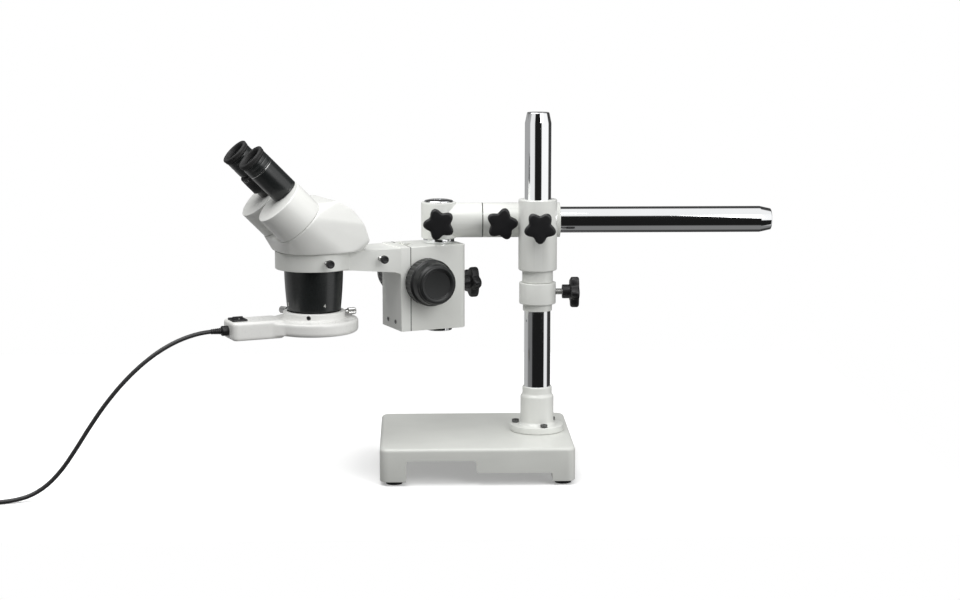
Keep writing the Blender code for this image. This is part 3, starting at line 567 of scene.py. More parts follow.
def temporary(bm):
    bmesh.ops.recalc_face_normals(bm, faces=bm.faces)
    return add_object("tool", mesh_from("tool", bm))


def applied(target, tools=()):
    """The bmesh that an object's modifiers give; the object and its tools are removed."""
    bpy.context.view_layer.update()
    graph = bpy.context.evaluated_depsgraph_get()
    mesh = bpy.data.meshes.new_from_object(target.evaluated_get(graph))
    out = bmesh.new()
    out.from_mesh(mesh)
    bpy.data.meshes.remove(mesh)
    bpy.data.batch_remove([thing for obj in (target, *tools) for thing in (obj, obj.data)])
    return out


def shaped(bm, joined=(), cuts=()):
    """bm with other closed shapes joined to it and then cut from it."""
    target = temporary(bm)
    tools = []
    for shapes, operation in ((joined, "UNION"), (cuts, "DIFFERENCE")):
        for shape in shapes:
            tool = temporary(shape)
            tools.append(tool)
            mod = target.modifiers.new("shape", "BOOLEAN")
            mod.operation = operation
            mod.solver = "EXACT"
            mod.object = tool
    return applied(target, tools)


def melted(bm, voxel, rounds):
    """bm with its surface rebuilt at a voxel size and relaxed, which leaves cast fillets."""
    target = temporary(bm)
    remesh = target.modifiers.new("cast", "REMESH")
    remesh.mode = "VOXEL"
    remesh.voxel_size = voxel
    relax = target.modifiers.new("relax", "SMOOTH")
    relax.factor = 0.5
    relax.iterations = rounds
    return applied(target)


def cylinder(radius, low, high, steps=64, where=Matrix(), soft=0):
    return moved(lathe([(0, high), (radius, high), (radius, low), (0, low)], steps, soft), where)


def circle(radius, count):
    return [(radius * math.cos(2 * math.pi * i / count), radius * math.sin(2 * math.pi * i / count))
            for i in range(count)]


def hexagon(across):
    return circle(across / 2 / math.cos(math.pi / 6), 6)


# ---- the lead ----

CORD_R = 2.5
COIL_CENTRE = (-672.0, -146.0)

# The lead's route from the gland down to the table and to its coil, from the pillar's axis
CORD_ROUTE = (
    (-390.4, -73.2, 182.0), (-401.5, -77.8, 181.0), (-416.3, -83.9, 177.6),
    (-432.9, -90.8, 171.3), (-451.4, -98.5, 161.0), (-471.7, -106.9, 145.5),
    (-492.0, -115.3, 125.5), (-510.5, -122.9, 103.0), (-527.1, -129.8, 79.0),
    (-542.8, -136.3, 54.5), (-557.6, -142.5, 33.5), (-573.3, -149.0, 17.5),
    (-590.0, -155.9, 7.6), (-606.6, -162.8, 3.6), (-621.4, -168.9, 2.8),
    (-637.0, -174.6, 2.8), (-650.8, -177.6, 2.8),
)


def smooth_route(points, spacing):
    """Points about one spacing apart on a smooth curve through the given ones."""
    points = [Vector(p) for p in points]
    ends = [2 * points[0] - points[1]] + points + [2 * points[-1] - points[-2]]
    fine = []
    for a, b, c, d in zip(ends, ends[1:], ends[2:], ends[3:]):
        count = max(1, round((c - b).length / spacing))
        for i in range(count):
            t = i / count
            fine.append(0.5 * (2 * b + (c - a) * t + (2 * a - 5 * b + 4 * c - d) * t * t
                               + (3 * b - a - 3 * c + d) * t ** 3))
    fine.append(points[-1])
    return fine


def coil_points():
    """The coil's turns, clockwise from its front: each stage winds to a radius and a height."""
    stages = ((32.6, 2.8, 0.12), (32.6, 2.8, 0.88), (27.5, 2.8, 0.2), (27.5, 2.8, 0.8),
              (22.4, 2.8, 0.35), (22.4, 2.8, 0.55), (24.9, 7.35, 0.3), (24.9, 7.35, 0.75),
              (30.1, 7.35, 0.25), (30.1, 7.35, 0.8), (27.5, 11.7, 0.3), (27.5, 11.7, 0.95))
    radius, height, turned = 32.0, 2.8, 0.0
    per_turn = 36
    points = []
    for new_radius, new_height, turns in stages:
        count = max(1, round(per_turn * turns))
        for i in range(1, count + 1):
            t = i / count
            ease = t * t * (3 - 2 * t)
            r = radius + (new_radius - radius) * ease
            angle = -math.pi / 2 - 2 * math.pi * (turned + turns * t)
            points.append(Vector((COIL_CENTRE[0] + r * math.cos(angle),
                                  COIL_CENTRE[1] + r * math.sin(angle),
                                  height + (new_height - height) * ease)))
        radius, height, turned = new_radius, new_height, turned + turns
    return points


def make_cord():
    """The lead as one spline: its free run, its coil, and the last drop to the plug's tail."""
    plug_low, plug_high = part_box("plug")
    tail_x = (plug_low.x + plug_high.x) / 2 / MM - pillar_place.x
    tail_y = plug_low.y / MM - pillar_place.y
    points = smooth_route(CORD_ROUTE, 7.0)[:-1]
    points += coil_points()
    end = points[-1]
    tail = Vector((tail_x, tail_y + 0.8, 7.3))
    points += smooth_route((end, (tail_x - 0.4, end.y + 9.0, 11.4), (tail_x, tail.y - 8.0, 8.6),
                            tail), 4.0)[1:]
    data = bpy.data.curves.new("lead", "CURVE")
    data.dimensions = "3D"
    data.bevel_depth = CORD_R * MM
    data.bevel_resolution = 5
    data.use_fill_caps = True
    spline = data.splines.new("POLY")
    spline.points.add(len(points) - 1)
    for point, place in zip(spline.points, points):
        point.co = (*((place + pillar_place.xy.to_3d()) * MM), 1.0)
    spline.use_smooth = True
    data.materials.append(JACKET)
    lead = add_object("lead", data)
    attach(lead, BODY["power_cord"])
    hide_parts("power_cord", "cord_coil")
    start = (pillar_place.xy.to_3d() + Vector(CORD_ROUTE[0])) * MM
    return lead, start


# ---- clamping screws ----

STAR_TIP = 19.5
STAR_POINTS = 150


def star_outline(tip, phase):
    """Five blunt lobes with shallow valleys between them."""
    points = []
    for i in range(STAR_POINTS):
        angle = 2 * math.pi * i / STAR_POINTS
        lobe = 0.5 + 0.5 * math.cos(5 * (angle - math.radians(phase)))
        radius = tip * (0.72 + 0.28 * lobe ** 0.9)
        points.append((radius * math.cos(angle), radius * math.sin(angle)))
    return points


def scaled_outline(outline, factor):
    return [(x * factor, y * factor) for x, y in outline]


def star_shape(phase, inner_end, inner_r):
    """Heights run outward from the axis of the rod that the knob clamps."""
    star = star_outline(STAR_TIP, phase)
    rim = ((39.6, 0.84), (39.75, 0.90), (40.3, 0.955), (41.2, 0.985), (42.4, 1.0), (47.6, 1.0),
           (48.8, 0.985), (49.7, 0.95), (50.25, 0.89), (50.4, 0.82))
    hub = ((30.0, 7.6), (30.2, 8.2), (30.8, 8.5), (38.6, 8.5), (39.2, 8.8), (39.6, 9.8))
    sections = [(inner_end, circle(inner_r, STAR_POINTS)), (30.0, circle(inner_r, STAR_POINTS))]
    sections += [(height, circle(radius, STAR_POINTS)) for height, radius in hub]
    sections += [(height, scaled_outline(star, factor)) for height, factor in rim]
    sections += [(50.4, scaled_outline(star, 0.4))]
    return loft(sections)


def make_star_knob(name, where, phase, own_stud=False):
    """A star knob, with its stud where that is a node of its own."""
    inner_end, inner_r = (16.6, 3.9) if own_stud else (38.0, 4.2)
    stand_for(f"{name}_knob", star_shape(phase, inner_end, inner_r), where, KNOB_BLACK)
    if not own_stud:
        make_stud(f"{name}_stud", where)


def make_stud(node, where):
    """A threaded stud between a knob and the rod that it clamps."""
    pitch = 1.25
    thread = []
    for n in range(10):
        height = 30.0 - n * pitch
        thread += [(3.9, height), (3.35, height - pitch / 2)]
    profile = [(0, 37.7), (3.3, 37.7), (3.9, 37.1), (3.9, 30.6), *thread, (3.3, 16.6), (0, 16.6)]
    stand_for(node, lathe(profile, 40, soft=0.12), where, STEEL)


def socket_screw(radius, head, shank_r, shank, across, step=GAP):
    """A cap screw on the plane z = 0: a knurled head with a hexagon socket."""
    body = lathe([(0, head), (radius, head), (radius, step), (shank_r, step), (shank_r, -shank),
                  (0, -shank)], 144, 0.35,
                 knurl(0.14, 36, radius - 0.2, head * 0.25, head * 0.85))
    socket = slab(hexagon(across), head * 0.4, head + 2.0)
    return shaped(body, cuts=[socket])


# ---- the stand ----

def make_base():
    """A cast tray: four corner legs, a grip opening and a shallower skirt on its long sides."""
    wall = 8.0
    ceiling = BASE_TOP - wall
    leg_left = BASE_LEFT + 31.0
    leg_right = BASE_RIGHT - 27.0
    side = BASE_HALF_DEPTH - 31.0
    reach = BASE_HALF_DEPTH + 10.0
    body = box((BASE_LEFT, -BASE_HALF_DEPTH, 5.0), (BASE_RIGHT, BASE_HALF_DEPTH, BASE_TOP),
               corner=11.0, rim=4.0, foot=0.8)
    outline = softened([(leg_left + 0.4, -20.0), (leg_left + 0.4, 30.2), (-78.4, 30.2), (-77.0, 15.4),
                        (leg_right - 0.4, 15.4), (leg_right - 0.4, -20.0)], 2.6, closed=True)
    long_sides = moved(slab(outline, -reach, reach), AGAINST_Y)
    ends = box((BASE_LEFT - 10.0, -side + 0.4, -30.0), (BASE_RIGHT + 10.0, side - 0.4, 15.2))
    hollow_long = box((leg_left, wall - BASE_HALF_DEPTH, -6.0),
                      (leg_right, BASE_HALF_DEPTH - wall, ceiling), corner=4.0, rim=2.0, foot=0)
    hollow_wide = box((BASE_LEFT + wall, -side, -7.0), (BASE_RIGHT - wall, side, ceiling),
                      corner=4.0, rim=2.0, foot=0)
    holes = [cylinder(2.8, 30.0, 50.0, 32, at(*spot)) for spot in flange_screw_spots()]
    cuts = [hollow_long, hollow_wide, long_sides, ends, *holes]
    stand_for("base", shaped(body, cuts=cuts), STAND, BASE_ENAMEL, edge=0.7)


def flange_screw_spots():
    spots = []
    for n in (1, 2, 3):
        low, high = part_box(f"flange_screw_{n}")
        spots.append(((low + high) / 2 / MM - pillar_place).xy)
    return spots


def make_feet():
    """Rubber feet, each with a round recess underneath."""
    profile = [(0, 4.7), (9.7, 4.7), (10.3, 4.1), (9.6, 0.0), (3.8, 0.0), (3.6, 1.6), (0, 1.6)]
    for side in ("front", "rear"):
        for end in ("left", "right"):
            node = f"foot_{side}_{end}"
            low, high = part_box(node)
            middle = (low + high) / 2 / MM
            where = at(middle.x, middle.y)
            stand_for(node, lathe(profile, 64, 0.5), where, RUBBER)


def make_flange():
    low = BASE_TOP + GAP
    plate = low + 8.0
    profile = [(17.4, 100.4), (18.0, 99.4), (18.0, 91.4), (20.35, 88.2), (20.35, plate + 3.0),
               (23.0, plate), (32.5, plate), (32.5, low), (BORE_R, low), (BORE_R, 100.4)]
    spots = flange_screw_spots()
    holes = [cylinder(2.8, 40.0, 60.0, 32, at(*spot)) for spot in spots]
    washers = [cylinder(4.9, plate - 0.6, plate + 6.0, 48, at(*spot)) for spot in spots]
    body = shaped(lathe(profile, 144, 1.1), cuts=holes + washers)
    stand_for("pillar_flange", body, STAND, ENAMEL, edge=0.2)
    for n, spot in enumerate(spots):
        where = shifted(STAND, spot.x, spot.y, plate)
        stand_for(f"flange_screw_{n + 1}", socket_screw(4.3, 3.7, 2.5, 16.0, 3.6), where,
                  DARK_STEEL)


def make_rod(node, where, low, high, tip, taper):
    """A polished rod that narrows to the radius tip over the last taper millimetres."""
    profile = [(0, high), (tip - 0.7, high), (tip, high - 0.7), (ROD_R, high - taper),
               (ROD_R, low + 1.0), (ROD_R - 1.0, low), (0, low)]
    stand_for(node, lathe(profile, 160, 0.5), where, CHROME)


def make_rods():
    make_rod("pillar", STAND, BASE_TOP + GAP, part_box("pillar")[1].z / MM, 13.5, 13.0)
    left, right = (corner.x / MM - pillar_place.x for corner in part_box("boom_bar"))
    make_rod("boom_bar", BOOM @ ALONG_X, left, right, 13.0, 14.0)


def stud_hole(where):
    return cylinder(4.2, 12.0, 30.0, 40, where)


def make_collar():
    low, high = (corner.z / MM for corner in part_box("safety_collar"))
    shoulder = low + 8.6
    profile = [(22.25, high), (22.25, shoulder), (17.75, shoulder), (17.75, low), (BORE_R, low),
               (BORE_R, high)]
    where = at(z=COLLAR_STUD_Z) @ ALONG_X
    body = shaped(lathe(profile, 144, 1.2), cuts=[stud_hole(where)])
    stand_for("safety_collar", body, STAND, ENAMEL, edge=0.25)
    make_star_knob("collar", STAND @ where, 200.0)


def make_cross_block():
    low, high = node_box("cross_block")
    left = low.x - pillar_place.x
    right = 29.5
    neck = 243.5
    tube = lathe([(0, high.z), (23.4, high.z), (23.4, neck + 1.0), (21.6, neck), (18.75, neck),
                  (18.75, low.z), (0, low.z)], 144, 1.2)
    beam = at(0.0, BOOM_Y, BOOM_Z) @ ALONG_X
    sleeve = cylinder(21.35, left, right, 144, beam, 0.8)
    studs = [at(z=BOOM_Z) @ AGAINST_Y, at(BOOM_CLAMP_X, BOOM_Y, BOOM_Z) @ AGAINST_Y]
    cuts = [cylinder(BORE_R, 200.0, 350.0, 128), cylinder(BORE_R, -100.0, 60.0, 128, beam)]
    cuts += [stud_hole(stud) for stud in studs]
    stand_for("cross_block", shaped(tube, [sleeve], cuts), STAND, ENAMEL, edge=0.35)
    make_star_knob("pillar_clamp", STAND @ studs[0], -18.0)
    make_star_knob("boom_clamp", STAND @ studs[1], 5.0)


def make_knuckle():
    low, high = node_box("boom_knuckle")
    end = high.x - pillar_place.x
    post = at(PIN_X, BOOM_Y)
    beam = at(0.0, BOOM_Y, BOOM_Z) @ ALONG_X
    socket = cylinder(21.5, low.z, high.z, 144, post, 1.1)
    sleeve = cylinder(21.35, PIN_X, end, 144, beam, 0.8)
    stud = at(PIN_X, BOOM_Y, BOOM_Z) @ AGAINST_Y
    cuts = [cylinder(BORE_R, 260.0, 340.0, 128, post), cylinder(BORE_R, -100.3, 0.0, 128, beam),
            stud_hole(stud)]
    stand_for("boom_knuckle", shaped(socket, [sleeve], cuts), STAND, ENAMEL, edge=0.35)
    # painted shade: a black ring at the end of the sleeve stands for the shade in the seam against the
    # boom
    seam = lathe([(21.38, end), (21.38, end - 0.8), (18.0, end - 0.8), (18.0, end)], 144, 0)
    extra("knuckle_seam_shade", moved(seam, beam), STAND, SEAM_SHADE_AND_STOP_BLACK, "boom_knuckle")
    make_star_knob("pin_clamp", STAND @ stud, 38.0)


# ---- the focus block ----

def make_mounting_pin():
    low, high = (corner.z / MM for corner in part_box("mounting_pin"))
    flange_low = HOUSING_HIGH + GAP
    flange_high = flange_low + 5.4
    profile = [(0, high), (ROD_R, high), (ROD_R, flange_high), (19.0, flange_high),
               (19.0, flange_low), (ROD_R, flange_low), (ROD_R, low), (0, low)]
    end_hole = cylinder(7.0, low - 4.0, low + 2.4, 64)
    screw_hole = cylinder(4.3, 311.0, 330.0, 48)
    stand_for("mounting_pin", shaped(lathe(profile, 144, 0.7), cuts=[end_hole, screw_hole]), PIN,
              CHROME, edge=0.25)
    cap_low = high + 2 * GAP
    cap = lathe([(0, cap_low + 3.3), (12.0, cap_low + 2.9), (17.2, cap_low + 1.7),
                 (17.8, cap_low + 0.6), (17.8, cap_low), (4.0, cap_low), (4.0, 311.4), (0, 311.4)],
                144, 0.6)
    socket = slab(hexagon(8.4), cap_low + 0.8, cap_low + 6.0)
    ring = lathe([(7.0, cap_low + 5.0), (7.0, cap_low + 2.6), (6.4, cap_low + 2.6),
                  (6.4, cap_low + 5.0)], 96, 0)
    stand_for("pin_cap", shaped(cap, cuts=[socket, ring]), PIN, CHROME, edge=0.15)


def make_focus_housing():
    body = box((HOUSING_FRONT, -HALF_WIDTH, HOUSING_LOW), (HOUSING_BACK, HALF_WIDTH, HOUSING_HIGH),
               corner=8.0, rim=0.9, corner_at=lambda p: p.x > 0)
    dovetail = [(HOUSING_FRONT - 0.6, -14.3), (-44.1, -18.3), (-44.1, 18.3),
                (HOUSING_FRONT - 0.6, 14.3)]
    clamp = at(z=BLOCK_CLAMP_Z) @ ALONG_X
    shaft = at(SHAFT_X, 0.0, shaft_place.z) @ ALONG_Y
    cuts = [cylinder(BORE_R, 160.0, 290.0, 128), slab(dovetail, 160.0, 290.0),
            box((-45.0, -7.0, 161.0), (-36.0, 7.0, 289.0)), stud_hole(clamp),
            cylinder(4.3, -50.0, 50.0, 48, shaft)]
    stand_for("focus_housing", shaped(body, cuts=cuts), PIN, ENAMEL, edge=0.35)
    # painted shade: black strips in the gap between the plate and the housing stand for the shade there
    seam = [box((HOUSING_FRONT - 0.22, low, HOUSING_LOW + 0.2), (HOUSING_FRONT + 0.7, high,
                                                                 HOUSING_HIGH + 0.03))
            for low, high in ((-HALF_WIDTH - 0.03, -19.0), (19.0, HALF_WIDTH + 0.03))]
    extra("slide_seam_shade", merge(*seam), PIN, SEAM_SHADE_AND_STOP_BLACK, "focus_housing")
    make_star_knob("block_clamp", PIN @ clamp, 54.0, own_stud=True)


def make_focus_knobs():
    """Fluted grips with a stepped rim round a sunk face."""
    ribs = 30

    def flutes(radius, height, angle):
        if radius < 27.0 or not 35.9 < height < 51.4:
            return radius
        fade = min(1.0, (height - 35.9) / 1.5, (51.4 - height) / 1.5)
        return radius - 0.85 * fade * (0.5 + 0.5 * math.cos(ribs * angle)) ** 1.6

    grip = [(28.5, height) for height in (51.4, 50.2, 49.0, 44.0, 38.2, 37.0, 35.9)]
    profile = [(0, 67.6), (16.8, 67.6), (17.6, 69.2), (20.4, 69.8), (21.0, 68.9), (22.2, 68.9),
               (23.2, 68.2), (24.2, 65.6), (25.0, 65.2), (25.8, 59.0), (26.4, 54.4), (26.0, 53.6),
               (26.6, 53.0), (27.8, 52.2), *grip, (27.4, 34.2), (12.0, 34.0), (12.0, 32.5),
               (4.3, 32.5), (4.3, 65.4), (0, 65.4)]
    for node, turn in (("focus_knob_right", AGAINST_Y), ("focus_knob_left", ALONG_Y)):
        stand_for(node, lathe(profile, ribs * 12, 0.35, flutes), SHAFT @ turn, FOCUS_BLACK)


def make_carriage():
    """The sliding plate, the arm and the ring that holds the head, cast as one."""
    plate = box((PLATE_FRONT, -HALF_WIDTH, HOUSING_LOW), (HOUSING_FRONT - GAP, HALF_WIDTH,
                                                          HOUSING_HIGH), rim=0.5)
    tongue = [(HOUSING_FRONT - 0.6, -14.0), (-44.4, -18.0), (-44.4, 18.0),
              (HOUSING_FRONT - 0.6, 14.0)]
    side = [(PLATE_FRONT + 1.0, 239.0), (PLATE_FRONT + 1.0, RING_HIGH - 0.1),
            (-HEAD_REACH, RING_HIGH - 0.2), (-HEAD_REACH, RING_LOW + 0.2), (-125.0, 249.0),
            (-70.0, 243.6), (-64.6, 241.6)]
    arm = moved(slab(side, -HALF_WIDTH + 0.2, HALF_WIDTH - 0.2), AGAINST_Y)
    hub = at(-HEAD_REACH)
    ring = cylinder(46.0, RING_LOW, RING_HIGH, 192, hub, 1.1)
    ring_screw = hub @ at(z=CARRIAGE_SCREW_Z) @ AGAINST_Y
    arm_screw = at(-90.0, 0.0, CARRIAGE_SCREW_Z) @ AGAINST_Y
    cuts = [cylinder(38.0, 230.0, 290.0, 160, hub), cylinder(2.8, 34.0, 60.0, 32, ring_screw),
            cylinder(2.8, 18.5, 40.0, 32, arm_screw)]
    stand_for("carriage", shaped(plate, [slab(tongue, HOUSING_LOW + 2, HOUSING_HIGH - 2), arm, ring],
                                 cuts), PIN, ENAMEL, edge=0.5)
    make_thumbscrew("carriage_thumbscrew", PIN @ arm_screw, 18.9, 41.0, 48.0, 4.9)
    make_thumbscrew("ring_thumbscrew", PIN @ ring_screw, 38.0, 54.0, 61.0, 4.9)
    for n, across in enumerate((-12.0, 12.0)):
        where = shifted(PIN, PLATE_FRONT, across, 180.0) @ AGAINST_X
        extra(f"gib_screw_{n + 1}", socket_screw(2.6, 0.7, 1.6, 4.0, 2.2, 0.05), where, DARK_STEEL,
              "carriage")


def knurled_head(shoulder, end, radius, count=40):
    """A round knurled head with a plain neck behind it and a dimple in its face."""
    grip = [(radius, end - 0.8 - (end - shoulder - 3.2) * k / 6) for k in range(7)]
    profile = [(0, end - 0.6), (radius * 0.45, end - 0.6), (radius * 0.6, end),
               (radius - 0.5, end), *grip, (radius - 0.7, shoulder + 2.0),
               (radius - 1.4, shoulder + 1.6), (radius - 1.4, shoulder), (0, shoulder)]
    return lathe(profile, count * 6, 0.3,
                 knurl(0.3, count, radius - 0.1, shoulder + 2.2, end - 0.6))


def threaded_shank(tip, shoulder):
    radius = 2.4
    pitch = 0.8
    thread = []
    for n in range(int((shoulder - tip - 2.0) / pitch)):
        height = shoulder - 1.0 - n * pitch
        thread += [(radius, height), (radius - 0.32, height - pitch / 2)]
    return lathe([(0, shoulder + 0.4), (radius, shoulder + 0.4), *thread, (radius - 0.5, tip),
                  (0, tip)], 32, soft=0)


def make_thumbscrew(node, where, tip, shoulder, end, radius):
    """A black knurled head moulded on a steel screw."""
    stand_for(node, knurled_head(shoulder, end, radius), where, KNOB_BLACK)
    extra(f"{node}_shank", threaded_shank(tip, shoulder), where, STEEL, node)


# ---- the head ----

MOUNT_FORWARD = 27.7
MOUNT_UP = 37.7


def make_head_body():
    """A casting that runs from the ring up to the slanted face of the two prism housings."""
    slant = math.sqrt(0.5)
    face_r = PRISM_R + 0.4
    bm = bmesh.new()
    for sign in (-1, 1):
        for i in range(49):
            angle = math.pi * i / 48
            up = face_r * math.cos(angle) * slant
            out = PRISM_SPACING / 2 + face_r * math.sin(angle)
            bm.verts.new((-MOUNT_FORWARD + up, sign * out, RING_HIGH + MOUNT_UP + up))
    low = RING_HIGH + GAP
    for i in range(96):
        angle = 2 * math.pi * i / 96
        c = math.cos(angle)
        s = math.sin(angle)
        length = 59.6 if c > 0 else 46.6
        bm.verts.new((length * math.copysign(abs(c) ** 0.8, c),
                      49.6 * math.copysign(abs(s) ** 0.8, s), low))
    for x, up, half in ((16.0, 62.5, 42.0), (37.0, 51.0, 39.0), (51.0, 33.0, 40.0),
                        (58.5, 13.0, 38.0)):
        for sign in (-1, 1):
            bm.verts.new((x, sign * half, RING_HIGH + up))
    hull = bmesh.ops.convex_hull(bm, input=bm.verts)
    loose = [g for g in hull["geom_interior"] if isinstance(g, bmesh.types.BMVert)]
    bmesh.ops.delete(bm, geom=loose, context="VERTS")
    casting = melted(bm, 1.3, 9)
    floor_cut = box((-90.0, -90.0, 230.0), (90.0, 90.0, low))
    spigot = cylinder(37.7, RING_LOW + 0.5, RING_HIGH + 3.0, 144)
    well = cylinder(26.0, 240.0, RING_HIGH + 33.0, 96)
    to_head = HEAD.inverted()
    windows = [cylinder(10.0, -26.0, 3.0, 64, to_head @ OCULAR[side]) for side in OCULAR]
    body = shaped(shaped(casting, cuts=[floor_cut]), [spigot], [well, *windows])
    stand_for("head_body", body, HEAD, HEAD_ENAMEL, sharp=50.0)


def make_ocular(side):
    """One prism housing with the tube, eyepiece and eyecup that it carries."""
    drum = [(0, PRISM_LENGTH), (PRISM_R, PRISM_LENGTH), (PRISM_R, 1.2), (PRISM_R - 0.7, 0.5),
            (PRISM_R - 0.7, GAP), (27.5, GAP), (27.5, 33.0), (0, 33.0)]
    window = cylinder(10.5, 20.0, 50.0, 64, OCULAR[side].inverted() @ EYETUBE[side]
                   @ at(z=-PRISM_LENGTH))
    stand_for(f"prism_housing_{side}", shaped(lathe(drum, 192, 1.3), cuts=[window]), OCULAR[side],
              HEAD_ENAMEL, edge=0.2)
    tube = EYETUBE[side]
    bore = 15.3
    if side == "right":
        shoulder = 40.3
        profile = [(16.2, 40.0), (16.5, 39.4), (16.5, 3.2), (16.1, 2.8), (16.1, 2.0), (16.5, 1.6),
                   (16.5, GAP), (bore, GAP), (bore, 40.0)]
        stand_for("eyetube_right", lathe(profile, 144, 0.3), tube, TUBE_BLACK)
        ring = [(16.45, 40.9), (16.45, 40.05), (15.2, 40.05), (15.2, 40.9)]
        extra("eyetube_index_ring", lathe(ring, 144, 0.15), tube, STEEL, "eyetube_right")
    else:
        shoulder = 36.2
        profile = [(16.0, 33.0), (16.0, 9.0), (16.5, 8.8), (16.5, GAP), (bore, GAP), (bore, 33.0)]
        stand_for("eyetube_left", lathe(profile, 144, 0.3), tube, TUBE_BLACK)
        make_diopter_ring(tube)
    make_eyepiece(side, tube, shoulder)


def make_diopter_ring(tube):
    """The knurled ring that focuses the left eyepiece, with scale marks on its plain band."""
    grip = [(19.0, 26.4 - 13.8 * k / 5) for k in range(6)]
    profile = [(18.0, 33.0), (18.8, 32.2), (18.8, 28.0), (18.4, 27.6), (19.0, 27.2), *grip,
               (19.0, 10.1), (18.2, 9.3), (16.3, 9.3), (16.3, 33.0)]
    grooves = knurl(0.4, 60, 18.7, 12.6, 26.4, 2)
    stand_for("diopter_ring", lathe(profile, 360, 0.25, grooves), tube, KNOB_BLACK)
    marks = []
    for n in range(-4, 5):
        length = 3.2 if n % 2 == 0 else 1.8
        mark = box((18.70, -0.18, 28.3), (18.92, 0.18, 28.3 + length), rim=0.04)
        marks.append(moved(mark, turn_z(180.0 + 9.0 * n)))
    extra("diopter_scale", merge(*marks), tube, MARK_WHITE, "diopter_ring")


def make_eyepiece(side, tube, shoulder):
    """A wide-field eyepiece: barrel, ringed head, rolled rubber cup and a coated lens."""
    node = f"eyepiece_{side}"
    top = 53.5 if side == "right" else 58.0
    neck = top - 10.4
    profile = [(15.6, top), (16.4, top - 0.8), (16.5, top - 4.0), (16.1, top - 4.4),
               (16.1, top - 5.2), (16.5, top - 5.6), (16.5, neck + 1.0), (16.1, neck + 0.6),
               (16.1, neck - 0.2), (16.5, neck - 0.6), (16.5, shoulder + 0.8), (15.8, shoulder),
               (15.0, shoulder), (15.0, 12.0), (13.0, 12.0), (13.0, 38.0), (11.6, 40.0),
               (11.6, top)]
    stand_for(node, lathe(profile, 144, 0.3), tube, TUBE_BLACK)
    tube = shifted(tube, z=top - 58.0)
    cup = [(15.4, 64.8), (16.9, 64.4), (17.6, 63.2), (17.3, 61.6), (16.9, 60.8), (17.3, 60.0),
           (16.9, 59.2), (16.7, 58.3), (11.9, 58.3), (11.9, 60.0), (12.6, 62.4), (13.4, 64.0)]
    stand_for(f"eyecup_{side}", lathe(cup, 144, 0.7), tube, RUBBER)
    lens = [(0, 56.2), (3.0, 56.1), (6.0, 55.75), (9.0, 54.9), (11.2, 53.6), (11.2, 52.4),
            (0, 51.6)]
    stand_for(f"eye_lens_{side}", lathe(lens, 96, 0.3), tube, GLASS)
    stop = [(12.0, 51.0), (11.2, 50.2), (7.6, 50.2), (7.6, 49.4), (12.0, 49.4)]
    extra(f"field_stop_{side}", lathe(stop, 96, 0.15), tube, SEAM_SHADE_AND_STOP_BLACK, f"eye_lens_{side}")
    retainer = [(11.55, 56.6), (11.55, 53.9), (10.6, 54.7), (10.6, 56.6)]
    extra(f"lens_ring_{side}", lathe(retainer, 96, 0.15), tube, TUBE_BLACK, node)


def number_marks(text, size, angle, height):
    """A raised number wrapped round the turret's side."""
    data = bpy.data.curves.new("number", "FONT")
    data.body = text
    data.size = size
    data.align_x = "CENTER"
    data.extrude = 0.06
    data.resolution_u = 4
    bm = applied(add_object("number", data))
    bmesh.ops.remove_doubles(bm, verts=bm.verts, dist=0.0005)
    for v in bm.verts:
        radius = barrel_radius(height + v.co.y)
        turn = math.radians(angle) + v.co.x / radius
        out = radius + 0.03 + v.co.z
        v.co = Vector((out * math.cos(turn), out * math.sin(turn), height + v.co.y))
    return bm


def barrel_radius(height):
    """The turret's slightly barrelled side."""
    t = (251.0 - height) / 50.0
    return 35.4 - 3.2 * t ** 1.7


OBJECTIVE_OFFSET = 11.0   # of the objectives in use, to each side of the head's axis
SECOND_OFFSET = 13.2      # of the pair that the turret's turn brings in


